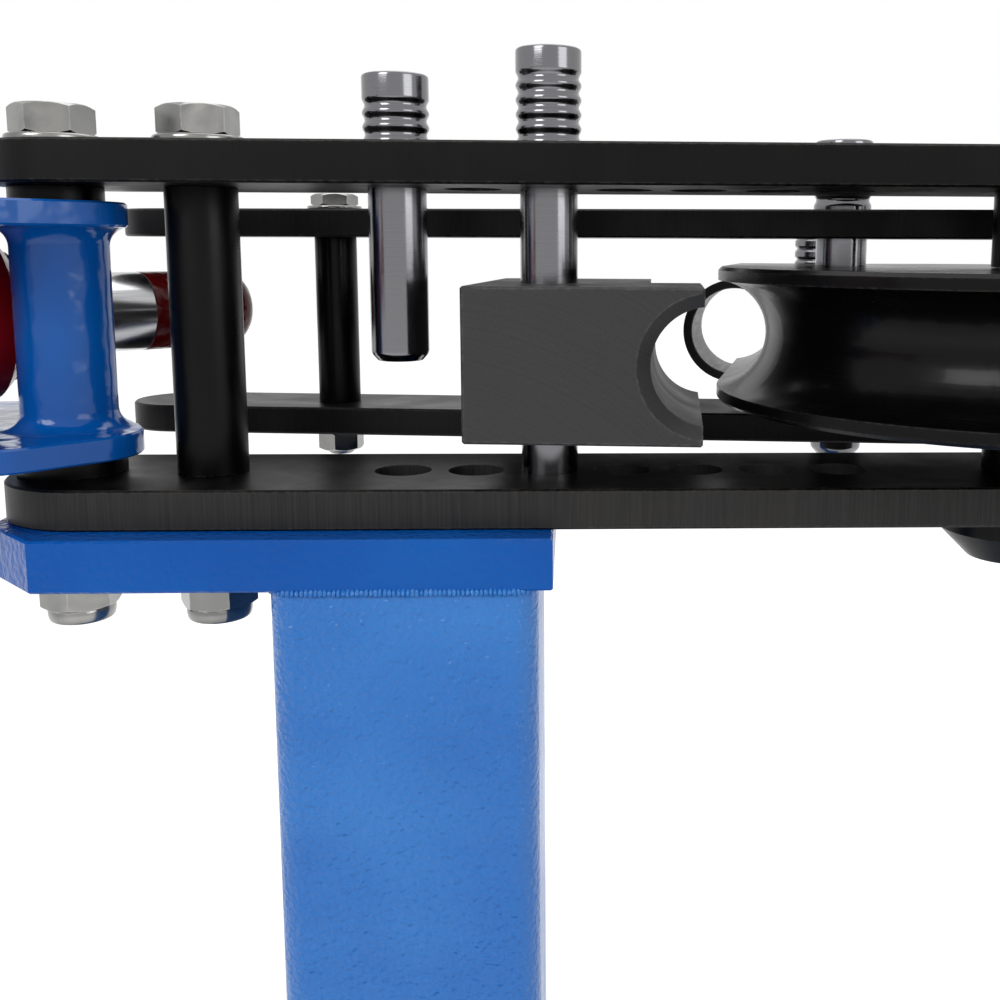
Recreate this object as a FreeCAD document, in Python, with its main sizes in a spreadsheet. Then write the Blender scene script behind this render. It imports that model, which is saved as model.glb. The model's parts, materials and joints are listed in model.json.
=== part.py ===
import FreeCAD, Part
import math
import os
from FreeCAD import Placement, Rotation, Vector
import Sketcher

# Hydraulic tube bender on a pedestal.
# Millimetres, +Z up. X runs along the frame arms, Y points away from the operator.
# The origin lies under the column's axis, on the floor.

DRIVING_SIZES = [
    # Pedestal
    ("base_thick", 12.0),
    ("base_corner", 25.0),
    ("anchor_spacing", 520.0),
    ("anchor_margin", 40.0),
    ("anchor_hole", 16.0),
    ("column_side", 101.6),
    ("column_wall", 6.35),
    ("column_corner", 11.0),
    ("column_height", 850.0),
    ("gusset_reach", 130.0),
    ("gusset_rise", 170.0),
    ("gusset_thick", 9.5),
    ("gusset_nose", 18.0),
    ("head_plate_left", 162.2),
    ("head_plate_right", 56.4),
    ("head_plate_width", 103.0),
    ("head_plate_thick", 20.0),
    ("head_plate_corner", 26.0),
    # Frame arms
    ("arm_width", 76.2),
    ("arm_thick", 15.9),
    ("arm_gap", 114.3),
    ("arm_left", 163.6),
    ("arm_overhang", 38.1),
    ("edge_break", 0.8),
    ("first_hole_x", -6.0),
    ("hole_pitch", 30.2),
    ("follow_hole_steps", 2.0),
    ("last_hole_steps", 6.0),
    ("spacer_bolt_x", -83.3),
    ("yoke_pivot_x", -139.8),
    ("centre_pin_x", 249.5),
    # Clearances
    ("pin_play", 0.1),
    ("running_gap", 0.3),
    ("frame_tube_radius", 14.0),
    # Frame bolts
    ("bolt_radius", 10.0),
    ("bolt_head_corner", 15.8),
    ("bolt_head_height", 11.5),
    ("bolt_end", 0.6),
    ("pivot_bolt_turn", 17.0),
    ("pivot_nut_turn", 34.0),
    ("spacer_bolt_turn", 25.0),
    ("spacer_nut_turn", 1.0),
    ("washer_radius", 17.6),
    ("washer_thick", 4.0),
    ("lock_nut_height", 25.4),
    ("lock_nut_collar", 5.0),
    ("lock_nut_lip", 1.4),
    ("lock_nut_root", 3.4),
    # Removable pins
    ("pin_radius", 11.6),
    ("pin_head_radius", 13.1),
    ("pin_chamfer", 1.6),
    ("pin_point", 3.0),
    ("pin_foot_lift", 1.5),
    ("pin_groove_half", 1.5),
    ("pin_groove_depth", 1.2),
    ("pin_groove_pitch", 5.6),
    ("pin_head_clear", 3.4),
    ("long_head_height", 39.0),
    ("short_head_height", 28.4),
    ("drive_head_height", 32.0),
    ("spare_pin_reach", 84.4),
    ("pin_tail", 9.0),
    # Links between the ram and the die
    ("link_width", 50.8),
    ("link_thick", 12.7),
    ("link_lift", 4.2),
    ("link_inner_gap", 79.0),
    ("link_turn", 6.3),
    ("link_offset", 56.6),
    ("drive_hole_reach", 67.4),
    ("link_bolt_reach", 307.2),
    ("ram_pin_reach", 378.0),
    ("link_tip_reach", 382.9),
    ("link_end_reach", 92.0),
    ("link_bolt_radius", 6.35),
    ("link_tube_radius", 9.8),
    ("link_washer_radius", 12.7),
    ("link_washer_thick", 2.0),
    ("link_bolt_corner", 11.0),
    ("link_bolt_head", 5.6),
    ("link_nut_height", 9.0),
    ("link_bolt_tail", 2.0),
    ("link_bolt_turn", 12.0),
    ("link_nut_turn", 25.0),
    # Bending die and strap
    ("bend_radius", 127.0),
    ("tube_radius", 22.225),
    ("die_rim_radius", 125.2),
    ("die_height", 55.4),
    ("die_lift", 28.4),
    ("die_turn", 13.0),
    ("groove_turn", 195.0),
    ("die_edge", 1.4),
    ("die_bush_radius", 13.0),
    ("die_straight", 103.6),
    ("die_straight_inner", 60.0),
    ("die_straight_step", 90.0),
    ("die_straight_root", 66.0),
    ("tongue_end", 148.0),
    ("tongue_outer", 101.0),
    ("tongue_inner", 66.0),
    ("tongue_corner", 12.0),
    ("strap_drop", 8.0),
    ("strap_play", 0.25),
    ("strap_wall", 4.6),
    ("strap_start", 105.0),
    ("strap_length", 46.0),
    ("strap_pin_inset", 43.0),
    ("boss_radius", 30.0),
    ("boss_height", 21.0),
    ("boss_chamfer", 12.0),
    # Follow block
    ("block_left", 27.8),
    ("block_right", 62.0),
    ("block_front", 47.0),
    ("block_rear", 63.0),
    ("block_gap", 1.6),
    ("block_height", 58.8),
    ("block_turn", 5.3),
    ("block_groove_outset", 2.5),
    ("block_lead_in", 5.0),
    ("block_edge", 0.8),
    ("block_step_depth", 2.5),
    ("block_step_width", 22.0),
    ("block_step_start", 4.0),
    # Yoke
    ("yoke_low_spacer", 9.0),
    ("yoke_plate_thick", 9.5),
    ("yoke_inner_gap", 80.0),
    ("yoke_low_spacer_radius", 20.7),
    ("yoke_high_spacer_radius", 17.5),
    ("yoke_barrel_radius", 18.2),
    ("yoke_flare", 7.5),
    ("yoke_flare_root", 2.5),
    ("yoke_side", 37.2),
    ("yoke_lower_front", 22.0),
    ("yoke_upper_front", 20.2),
    ("yoke_back", 150.0),
    ("yoke_far_side", 104.0),
    ("yoke_corner", 26.0),
    ("yoke_tail_side", 7.5),
    ("collar_back", 132.0),
    ("collar_length", 56.0),
    ("collar_half_width", 45.0),
    # Ram
    ("ram_angle", 46.0),
    ("ram_lift", 2.5),
    ("ram_radius", 35.0),
    ("ram_bore", 26.0),
    ("ram_face_back", 91.0),
    ("ram_length", 580.0),
    ("ram_end_wall", 20.0),
    ("ram_rim", 4.0),
    ("gland_radius", 28.0),
    ("gland_proud", 5.0),
    ("gland_length", 34.0),
    ("gland_edge", 1.5),
    ("rod_radius", 18.3),
    ("piston_length", 30.0),
    ("piston_rest_gap", 5.0),
    ("seal_width", 6.0),
    ("seal_depth", 3.0),
    ("seal_play", 0.05),
    ("rod_end_radius", 18.4),
    ("rod_end_back", 19.6),
    ("rod_end_front", 23.7),
    ("rod_end_edge", 0.4),
    ("rod_end_crown", 6.0),
    ("ram_pin_radius", 8.0),
    ("ram_pin_end_gap", 2.0),
    # Pump at the tail of the ram
    ("tail_length", 96.0),
    ("tail_width", 92.0),
    ("tail_height", 88.0),
    ("tail_corner", 8.0),
    ("pump_inset", 66.0),
    ("pump_radius", 17.0),
    ("pump_height", 34.0),
    ("pump_edge", 2.0),
    ("pump_floor", 2.0),
    ("plunger_radius", 8.0),
    ("plunger_depth", 20.0),
    ("fulcrum_reach", 33.0),
    ("fulcrum_rise", 62.0),
    ("fulcrum_half_width", 10.0),
    ("fulcrum_pin_radius", 5.0),
    ("plunger_pin_radius", 4.0),
    ("lever_pin_end", 2.5),
    ("slot_play", 0.6),
    ("slot_start", 0.1),
    ("slot_reach", 2.4),
    ("lever_cheek_thick", 6.0),
    ("lever_cheek_half_width", 12.0),
    ("lever_cheek_reach", 40.0),
    ("socket_slope", 40.0),
    ("socket_radius", 16.0),
    ("socket_bore", 12.7),
    ("socket_length", 90.0),
    ("handle_length", 420.0),
    ("handle_insert", 60.0),
    ("handle_play", 0.2),
    ("grip_length", 110.0),
    ("grip_wall", 3.0),
    ("valve_radius", 8.0),
    ("valve_length", 26.0),
    ("valve_bar_length", 44.0),
    ("valve_bar_radius", 4.0),
    ("valve_bar_reach", 18.0),
    ("filler_radius", 7.0),
    ("filler_height", 6.0),
    ("filler_inset", 12.0),
]

doc = FreeCAD.newDocument("TubeBender")
sheet = doc.addObject("Spreadsheet::Sheet", "Sizes")
for row, (alias, number) in enumerate(DRIVING_SIZES, start=1):
    sheet.set(f"A{row}", alias)
    sheet.set(f"B{row}", str(number))
    sheet.setAlias(f"B{row}", alias)
doc.recompute()


class Term:
    """A size worked out from the sheet: its number and the expression that gives it."""

    def __init__(self, value, text):
        self.value = value
        self.text = text

    def join(self, other, sign, value):
        return Term(value, f"({self.text} {sign} {term(other).text})")

    def __add__(self, other):
        return self.join(other, "+", self.value + term(other).value)

    def __radd__(self, other):
        return term(other) + self

    def __sub__(self, other):
        return self.join(other, "-", self.value - term(other).value)

    def __rsub__(self, other):
        return term(other) - self

    def __mul__(self, other):
        return self.join(other, "*", self.value * term(other).value)

    def __rmul__(self, other):
        return term(other) * self

    def __truediv__(self, other):
        return self.join(other, "/", self.value / term(other).value)

    def __neg__(self):
        return Term(-self.value, f"(0 - {self.text})")


def term(number):
    if isinstance(number, Term):
        return number
    if number < 0:
        return Term(float(number), f"(0 - {-float(number)})")
    return Term(float(number), str(float(number)))


def size(alias):
    return Term(float(sheet.get(alias)), f"Sizes.{alias}")


def sine(angle):
    return Term(math.sin(math.radians(angle.value)), f"sin({angle.text} * 1 deg)")


def cosine(angle):
    return Term(math.cos(math.radians(angle.value)), f"cos({angle.text} * 1 deg)")


def root(square):
    return Term(math.sqrt(square.value), f"sqrt({square.text})")


def bind(item, path, amount):
    item.setExpression(path, term(amount).text)


def put(item, x, y, z, rotation=None):
    """Place an object at bound coordinates, turned by a plain rotation."""
    spot = Vector(term(x).value, term(y).value, term(z).value)
    item.Placement = Placement(spot, rotation or Rotation())
    bind(item, "Placement.Base.x", x)
    bind(item, "Placement.Base.y", y)
    bind(item, "Placement.Base.z", z)
    return item


# Levels and places that several pieces share
deck = size("base_thick") + size("column_height") + size("head_plate_thick")
low_arm_top = deck + size("arm_thick")
high_arm_bottom = low_arm_top + size("arm_gap")
high_arm_top = high_arm_bottom + size("arm_thick")
arm_half = size("arm_width") / 2
pin_hole = size("pin_radius") + size("pin_play")
bolt_hole = size("bolt_radius") + size("pin_play")
centre_x = size("centre_pin_x")
follow_x = size("first_hole_x") + size("follow_hole_steps") * size("hole_pitch")
pivot_x = size("yoke_pivot_x")

low_link_bottom = low_arm_top + size("link_lift")
low_link_top = low_link_bottom + size("link_thick")
high_link_bottom = low_link_top + size("link_inner_gap")
high_link_top = high_link_bottom + size("link_thick")
die_bottom = low_arm_top + size("die_lift")
die_top = die_bottom + size("die_height")
die_middle = die_bottom + size("die_height") / 2

low_yoke_bottom = low_arm_top + size("yoke_low_spacer")
low_yoke_top = low_yoke_bottom + size("yoke_plate_thick")
high_yoke_bottom = low_yoke_top + size("yoke_inner_gap")
high_yoke_top = high_yoke_bottom + size("yoke_plate_thick")
ram_level = low_yoke_top + size("yoke_inner_gap") / 2 + size("ram_lift")

# The link line, turned clockwise about the centre pin and offset from it
link_cos = cosine(size("link_turn"))
link_sin = sine(size("link_turn"))


def on_link(along, across):
    """A point given along and across the link line, measured from the centre pin."""
    x = centre_x + along * link_cos + across * link_sin
    y = across * link_cos - along * link_sin
    return x, y


drive_x, drive_y = on_link(-size("drive_hole_reach"), size("link_offset"))
far_drive_x, far_drive_y = on_link(size("drive_hole_reach"), size("link_offset"))
link_bolt_x, link_bolt_y = on_link(-size("link_bolt_reach"), size("link_offset"))
ram_pin_x, ram_pin_y = on_link(-size("ram_pin_reach"), size("link_offset"))

# The ram line: it points from the tail to the rod end
ram_cos = cosine(size("ram_angle"))
ram_sin = sine(size("ram_angle"))
ram_side = (ram_pin_x - pivot_x) * ram_sin - ram_pin_y * ram_cos
ram_ahead = (ram_pin_x - pivot_x) * ram_cos + ram_pin_y * ram_sin
ALONG_RAM = Rotation(Vector(0, 0, 1), size("ram_angle").value) * Rotation(Vector(0, 1, 0), 90)
TURNED_RAM = Rotation(Vector(0, 0, 1), size("ram_angle").value)
TURNED_LINK = Rotation(Vector(0, 0, 1), -size("link_turn").value)
TURNED_DIE = Rotation(Vector(0, 0, 1), -size("die_turn").value)
TURNED_BLOCK = Rotation(Vector(0, 0, 1), -size("block_turn").value)


def by_ram(ahead, side=0):
    """A point measured from the ram pin, along the ram and to its operator side."""
    x = ram_pin_x + ahead * ram_cos + side * ram_sin
    y = ram_pin_y + ahead * ram_sin - side * ram_cos
    return x, y


die_cos = cosine(size("die_turn"))
die_sin = sine(size("die_turn"))


def on_die(across, along):
    """A point in the die's own axes, whose second axis is the straight of the tube."""
    x = centre_x + across * die_cos + along * die_sin
    y = along * die_cos - across * die_sin
    return x, y


def in_die(x, y):
    """The die's own coordinates of a point of the machine."""
    return (x - centre_x) * die_cos - y * die_sin, (x - centre_x) * die_sin + y * die_cos


sub_parts = []


def keep(item, label):
    item.Label = label
    sub_parts.append(item)
    return item


# Plain solids

def cylinder(name, radius, height, x, y, z, rotation=None):
    item = doc.addObject("Part::Cylinder", name)
    bind(item, "Radius", radius)
    bind(item, "Height", height)
    return put(item, x, y, z, rotation)


def cone(name, radius_one, radius_two, height, x, y, z, rotation=None):
    item = doc.addObject("Part::Cone", name)
    bind(item, "Radius1", radius_one)
    bind(item, "Radius2", radius_two)
    bind(item, "Height", height)
    return put(item, x, y, z, rotation)


def box(name, length, width, height, x, y, z, rotation=None):
    item = doc.addObject("Part::Box", name)
    bind(item, "Length", length)
    bind(item, "Width", width)
    bind(item, "Height", height)
    return put(item, x, y, z, rotation)


def hexagon(name, corner, height, x, y, z, rotation=None):
    item = doc.addObject("Part::Prism", name)
    item.Polygon = 6
    bind(item, "Circumradius", corner)
    bind(item, "Height", height)
    return put(item, x, y, z, rotation)


def fuse(name, pieces):
    item = doc.addObject("Part::MultiFuse", name)
    item.Shapes = pieces
    item.Refine = True
    return item


def cut(name, base, tools):
    item = doc.addObject("Part::Cut", name)
    item.Base = base
    item.Tool = tools[0] if len(tools) == 1 else fuse(name + "Tools", tools)
    return item


def common(name, pieces):
    item = doc.addObject("Part::MultiCommon", name)
    item.Shapes = pieces
    return item


def group(name, pieces):
    item = doc.addObject("Part::Compound", name)
    item.Links = pieces
    return item


def tube(name, outer, inner, height, x, y, z, rotation=None):
    wall = cylinder(name + "Wall", outer, height, x, y, z, rotation)
    bore = cylinder(name + "Bore", inner, height, x, y, z, rotation)
    return cut(name, wall, [bore])


# Bodies with sketches

def body_named(label, x, y, z, rotation=None):
    body = doc.addObject("PartDesign::Body", label)
    put(body, x, y, z, rotation)
    return keep(body, label)


def sketch_on(body, name, role="XY_Plane", lift=None):
    sketch = body.newObject("Sketcher::SketchObject", name)
    support = [item for item in body.Origin.OriginFeatures if item.Role == role][0]
    sketch.AttachmentSupport = [(support, "")]
    sketch.MapMode = "FlatFace"
    if lift is not None:
        sketch.AttachmentOffset = Placement(Vector(0, 0, term(lift).value), Rotation())
        bind(sketch, "AttachmentOffset.Base.z", lift)
    return sketch


def pin_along(sketch, kind, element, point, amount):
    """Hold one coordinate of a point of a sketch at a bound distance."""
    rule = Sketcher.Constraint(kind, -1, 1, element, point, term(amount).value)
    index = sketch.addConstraint(rule)
    sketch.setExpression(f"Constraints[{index}]", term(amount).text)


def pin_point(sketch, element, point, x, y):
    pin_along(sketch, "DistanceX", element, point, x)
    pin_along(sketch, "DistanceY", element, point, y)


def draw_polygon(sketch, corners):
    first = sketch.GeometryCount
    spots = [Vector(term(x).value, term(y).value, 0) for x, y in corners]
    count = len(spots)
    for number in range(count):
        sketch.addGeometry(Part.LineSegment(spots[number], spots[(number + 1) % count]), False)
    for number in range(count):
        following = first + (number + 1) % count
        sketch.addConstraint(Sketcher.Constraint("Coincident", first + number, 2, following, 1))
    for number, (x, y) in enumerate(corners):
        pin_point(sketch, first + number, 1, x, y)


def draw_circle(sketch, x, y, radius):
    spot = Vector(term(x).value, term(y).value, 0)
    index = sketch.addGeometry(Part.Circle(spot, Vector(0, 0, 1), term(radius).value), False)
    rule = Sketcher.Constraint("Radius", index, term(radius).value)
    number = sketch.addConstraint(rule)
    sketch.setExpression(f"Constraints[{number}]", term(radius).text)
    pin_point(sketch, index, 3, x, y)


def draw_bar(sketch, left, right, middle, half):
    """A bar along X with full round ends, whose round ends are centred at left and right."""
    first = sketch.GeometryCount
    reach = term(half).value
    low = Vector(term(left).value, term(middle).value, 0)
    high = Vector(term(right).value, term(middle).value, 0)
    up = Vector(0, reach, 0)
    quarter = math.pi / 2
    sketch.addGeometry(Part.LineSegment(low - up, high - up), False)
    end_arc = Part.ArcOfCircle(Part.Circle(high, Vector(0, 0, 1), reach), -quarter, quarter)
    sketch.addGeometry(end_arc, False)
    sketch.addGeometry(Part.LineSegment(high + up, low + up), False)
    start_arc = Part.ArcOfCircle(Part.Circle(low, Vector(0, 0, 1), reach), quarter, 3 * quarter)
    sketch.addGeometry(start_arc, False)
    for number, end, start in ((0, 2, 1), (1, 2, 1), (2, 2, 1), (3, 2, 1)):
        following = first + (number + 1) % 4
        sketch.addConstraint(Sketcher.Constraint("Tangent", first + number, end, following, start))
    for number, x in ((1, right), (3, left)):
        pin_point(sketch, first + number, 3, x, middle)
        rule = Sketcher.Constraint("Radius", first + number, reach)
        index = sketch.addConstraint(rule)
        sketch.setExpression(f"Constraints[{index}]", term(half).text)


def pad(body, sketch, length):
    feature = body.newObject("PartDesign::Pad", sketch.Name + "Pad")
    feature.Profile = sketch
    bind(feature, "Length", length)
    doc.recompute()
    return feature


def pocket(body, sketch, length, turned=False):
    before = body.Shape.Volume
    feature = body.newObject("PartDesign::Pocket", sketch.Name + "Pocket")
    feature.Profile = sketch
    bind(feature, "Length", length)
    feature.Reversed = turned
    doc.recompute()
    if feature.Shape.Volume > before - 1.0:
        raise ValueError("the pocket " + feature.Name + " cuts nothing")
    return feature


def edges_where(shape, test):
    return [f"Edge{number}" for number, edge in enumerate(shape.Edges, 1) if test(edge)]


def upright(edge):
    return edge.Curve.TypeId == "Part::GeomLine" and abs(edge.Curve.Direction.z) > 0.999


def level(edge):
    return edge.BoundBox.ZLength < 0.001


def round_edges(body, test, radius, kind="Fillet"):
    base = body.Tip
    names = edges_where(base.Shape, test)
    feature = body.newObject("PartDesign::" + kind, base.Name + kind)
    feature.Base = (base, names)
    bind(feature, "Radius" if kind == "Fillet" else "Size", radius)
    doc.recompute()
    return feature


def is_rim(edge):
    """A level edge of a plate's outline, not of one of its round holes."""
    return level(edge) and (edge.Curve.TypeId != "Part::GeomCircle" or not edge.isClosed())


# Pedestal

def make_base_plate():
    body = body_named("base_plate", 0, 0, 0)
    sketch = sketch_on(body, "BaseOutline")
    reach = size("anchor_spacing") / 2
    half = reach + size("anchor_margin")
    draw_polygon(sketch, [(-half, -half), (half, -half), (half, half), (-half, half)])
    pad(body, sketch, size("base_thick"))
    round_edges(body, upright, size("base_corner"))
    holes = sketch_on(body, "AnchorHoles")
    for x in (-reach, reach):
        for y in (-reach, reach):
            draw_circle(holes, x, y, size("anchor_hole") / 2)
    pocket(body, holes, size("base_thick"), turned=True)


def make_gusset_group():
    """Each gusset is drawn in its own plane and stands on one side of the column."""
    half = size("column_side") / 2
    reach = size("gusset_reach")
    rise = size("gusset_rise")
    nose = size("gusset_nose")
    thick = size("gusset_thick")
    pieces = []
    for number in range(4):
        outline = doc.addObject("Sketcher::SketchObject", f"GussetOutline{number}")
        draw_polygon(outline, [
            (half, 0), (half + reach, 0), (half + reach, nose),
            (half + nose, rise), (half, rise),
        ])
        turn = Rotation(Vector(0, 0, 1), 90 * number) * Rotation(Vector(1, 0, 0), 90)
        put(outline, 0, 0, size("base_thick"), turn)
        plate = doc.addObject("Part::Extrusion", f"GussetPlate{number}")
        plate.Base = outline
        plate.DirMode = "Normal"
        plate.Symmetric = True
        plate.Solid = True
        bind(plate, "LengthFwd", thick)
        pieces.append(plate)
    keep(group("Gussets", pieces), "base_gussets")


def make_column():
    body = body_named("column", 0, 0, size("base_thick"))
    outer = size("column_side") / 2
    inner = outer - size("column_wall")
    sketch = sketch_on(body, "ColumnOutline")
    draw_polygon(sketch, [(-outer, -outer), (outer, -outer), (outer, outer), (-outer, outer)])
    pad(body, sketch, size("column_height"))
    round_edges(body, upright, size("column_corner"))
    hollow = sketch_on(body, "ColumnHollow")
    draw_polygon(hollow, [(-inner, -inner), (inner, -inner), (inner, inner), (-inner, inner)])
    pocket(body, hollow, size("column_height"), turned=True)

    def inner_corner(edge):
        return upright(edge) and abs(edge.BoundBox.Center.x) < inner.value + 0.01

    round_edges(body, inner_corner, size("column_corner") - size("column_wall"))


def make_head_plate():
    body = body_named("head_plate", 0, 0, size("base_thick") + size("column_height"))
    left = -size("head_plate_left")
    right = size("head_plate_right")
    half = size("head_plate_width") / 2
    corner = size("head_plate_corner")
    sketch = sketch_on(body, "HeadOutline")
    draw_polygon(sketch, [
        (left, corner - half), (left + corner, -half), (right, -half),
        (right, half), (left + corner, half), (left, half - corner),
    ])
    for x in (pivot_x, size("spacer_bolt_x")):
        draw_circle(sketch, x, 0, bolt_hole)
    pad(body, sketch, size("head_plate_thick"))
    round_edges(body, is_rim, size("edge_break"), "Chamfer")


# Frame

def make_frame_arm(label, floor):
    body = body_named(label, 0, 0, floor)
    sketch = sketch_on(body, label + "_outline")
    left = arm_half - size("arm_left")
    right = centre_x + size("arm_overhang") - arm_half
    draw_bar(sketch, left, right, 0, arm_half)
    for x in (pivot_x, size("spacer_bolt_x")):
        draw_circle(sketch, x, 0, bolt_hole)
    for step in range(int(size("last_hole_steps").value) + 1):
        draw_circle(sketch, size("first_hole_x") + step * size("hole_pitch"), 0, pin_hole)
    draw_circle(sketch, centre_x, 0, pin_hole)
    pad(body, sketch, size("arm_thick"))
    round_edges(body, is_rim, size("edge_break"), "Chamfer")


def make_frame_fasteners():
    """Two long bolts clamp both arms and the head plate together."""
    bolts = []
    washers = []
    nuts = []
    head_bottom = high_arm_top + size("washer_thick")
    nut_top = deck - size("head_plate_thick")
    nut_bottom = nut_top - size("lock_nut_height")
    shank_bottom = nut_bottom - size("bolt_end")
    reach = head_bottom - shank_bottom
    corner = size("bolt_head_corner")
    head_height = size("bolt_head_height")
    radius = size("bolt_radius")
    flat = corner * cosine(term(30))
    places = (
        (pivot_x, size("pivot_bolt_turn"), size("pivot_nut_turn")),
        (size("spacer_bolt_x"), size("spacer_bolt_turn"), size("spacer_nut_turn")),
    )
    for number, (x, head_turn, nut_turn) in enumerate(places):
        head_spin = Rotation(Vector(0, 0, 1), head_turn.value)
        nut_spin = Rotation(Vector(0, 0, 1), nut_turn.value)
        head = hexagon(f"BoltHex{number}", corner, head_height, x, 0, head_bottom, head_spin)
        dome = cone(f"BoltDome{number}", flat + head_height * root(term(3)), flat,
                    head_height, x, 0, head_bottom)
        crown = common(f"BoltHead{number}", [head, dome])
        shank = cylinder(f"BoltShank{number}", radius, reach, x, 0, shank_bottom)
        bolts.append(fuse(f"Bolt{number}", [crown, shank]))
        washers.append(tube(f"Washer{number}", size("washer_radius"), bolt_hole,
                            size("washer_thick"), x, 0, high_arm_top))
        hexed = size("lock_nut_height") - size("lock_nut_collar")
        block = hexagon(f"NutHex{number}", corner, hexed, x, 0, nut_top - hexed, nut_spin)
        collar = cone(f"NutCollar{number}", radius + size("lock_nut_lip"),
                      radius + size("lock_nut_root"), size("lock_nut_collar"), x, 0, nut_bottom)
        solid = fuse(f"NutSolid{number}", [block, collar])
        bore = cylinder(f"NutBore{number}", radius, size("lock_nut_height"), x, 0, nut_bottom)
        nuts.append(cut(f"Nut{number}", solid, [bore]))
    keep(group("FrameBolts", bolts), "frame_bolts")
    keep(group("FrameWashers", washers), "frame_washers")
    keep(group("FrameNuts", nuts), "frame_lock_nuts")


def make_frame_spacers():
    keep(tube("FrameTube", size("frame_tube_radius"), bolt_hole, size("arm_gap"),
              size("spacer_bolt_x"), 0, low_arm_top), "frame_spacer_tube")
    gap = size("running_gap")
    low = tube("LowYokeSpacer", size("yoke_low_spacer_radius"), bolt_hole,
               size("yoke_low_spacer") - gap, pivot_x, 0, low_arm_top)
    high = tube("HighYokeSpacer", size("yoke_high_spacer_radius"), bolt_hole,
                high_arm_bottom - high_yoke_top - gap, pivot_x, 0, high_yoke_top + gap)
    keep(group("YokeSpacers", [low, high]), "yoke_spacers")


def make_centre_boss():
    """The chamfered collar under the lower arm that carries the foot of the centre pin."""
    rise = size("boss_height")
    slope = size("boss_chamfer")
    low = cone("BossCone", size("boss_radius") - slope, size("boss_radius"), slope,
               centre_x, 0, deck - rise)
    high = cylinder("BossDisc", size("boss_radius"), rise - slope, centre_x, 0, deck - rise + slope)
    solid = fuse("BossSolid", [low, high])
    bore = cylinder("BossBore", pin_hole, rise, centre_x, 0, deck - rise)
    keep(cut("CentreBoss", solid, [bore]), "centre_boss")


def make_die_bushes():
    gap = size("running_gap")
    low = tube("LowDieBush", size("die_bush_radius"), pin_hole, size("die_lift") - gap,
               centre_x, 0, low_arm_top)
    high = tube("HighDieBush", size("die_bush_radius"), pin_hole,
                high_arm_bottom - die_top - gap, centre_x, 0, die_top + gap)
    keep(group("DieBushes", [low, high]), "die_bushes")


# Removable pins with grooved heads

def make_pin(label, x, y, seat, head_height, grooves, foot):
    """A pin that hangs by its grooved head on the surface at the level of its seat."""
    shaft_radius = size("pin_radius")
    head_radius = size("pin_head_radius")
    chamfer = size("pin_chamfer")
    point = size("pin_point")
    valley = head_radius - size("pin_groove_depth")
    half = size("pin_groove_half")
    stack = [
        (foot, shaft_radius - point, point, shaft_radius),
        (foot + point, shaft_radius, seat - foot - point, shaft_radius),
    ]
    level_z = seat
    for number in range(grooves):
        start = seat + size("pin_head_clear") + number * size("pin_groove_pitch")
        stack.append((level_z, head_radius, start - level_z, head_radius))
        stack.append((start, head_radius, half, valley))
        stack.append((start + half, valley, half, head_radius))
        level_z = start + half * 2
    crown = seat + head_height - chamfer
    stack.append((level_z, head_radius, crown - level_z, head_radius))
    stack.append((crown, head_radius, chamfer, head_radius - chamfer))
    pieces = []
    for number, (floor, low_radius, height, high_radius) in enumerate(stack):
        name = f"{label}Ring{number}"
        if low_radius is high_radius:
            pieces.append(cylinder(name, low_radius, height, x, y, floor))
        else:
            pieces.append(cone(name, low_radius, high_radius, height, x, y, floor))
    keep(fuse(label + "Solid", pieces), label)


# Bending head

def make_link(label, floor):
    body = body_named(label, centre_x, 0, floor, TURNED_LINK)
    sketch = sketch_on(body, label + "_outline")
    half = size("link_width") / 2
    offset = size("link_offset")
    draw_bar(sketch, -size("link_tip_reach"), size("link_end_reach"), offset, half)
    draw_circle(sketch, -size("ram_pin_reach"), offset, size("ram_pin_radius") + size("pin_play"))
    draw_circle(sketch, -size("link_bolt_reach"), offset, size("link_bolt_radius"))
    for x in (-size("drive_hole_reach"), size("drive_hole_reach")):
        draw_circle(sketch, x, offset, pin_hole)
    pad(body, sketch, size("link_thick"))
    round_edges(body, is_rim, size("edge_break"), "Chamfer")


def make_link_fasteners():
    x, y = link_bolt_x, link_bolt_y
    thick = size("link_washer_thick")
    hole = size("link_bolt_radius")
    keep(tube("LinkTube", size("link_tube_radius"), hole, size("link_inner_gap"),
              x, y, low_link_top), "link_spacer_tube")
    high = tube("HighLinkWasher", size("link_washer_radius"), hole, thick, x, y, high_link_top)
    low = tube("LowLinkWasher", size("link_washer_radius"), hole, thick,
               x, y, low_link_bottom - thick)
    keep(group("LinkWashers", [high, low]), "link_washers")
    head_height = size("link_bolt_head")
    nut_height = size("link_nut_height")
    corner = size("link_bolt_corner")
    nut_bottom = low_link_bottom - thick - nut_height
    foot = nut_bottom - size("link_bolt_tail")
    head_turn = Rotation(Vector(0, 0, 1), size("link_bolt_turn").value)
    nut_turn = Rotation(Vector(0, 0, 1), size("link_nut_turn").value)
    head = hexagon("LinkBoltHex", corner, head_height, x, y, high_link_top + thick, head_turn)
    shank = cylinder("LinkBoltShank", hole, high_link_top + thick - foot, x, y, foot)
    keep(fuse("LinkBoltSolid", [head, shank]), "link_bolt")
    block = hexagon("LinkNutHex", corner, nut_height, x, y, nut_bottom, nut_turn)
    bore = cylinder("LinkNutBore", hole, nut_height, x, y, nut_bottom)
    keep(cut("LinkNut", block, [bore]), "link_nut")


def is_outer_rim(edge):
    """A level edge along the two outer sides of the die's straight part."""
    spot = edge.BoundBox.Center
    outer_side = spot.x < 1 - size("die_rim_radius").value
    return level(edge) and (outer_side or spot.y > size("die_straight").value - 1)


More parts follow.
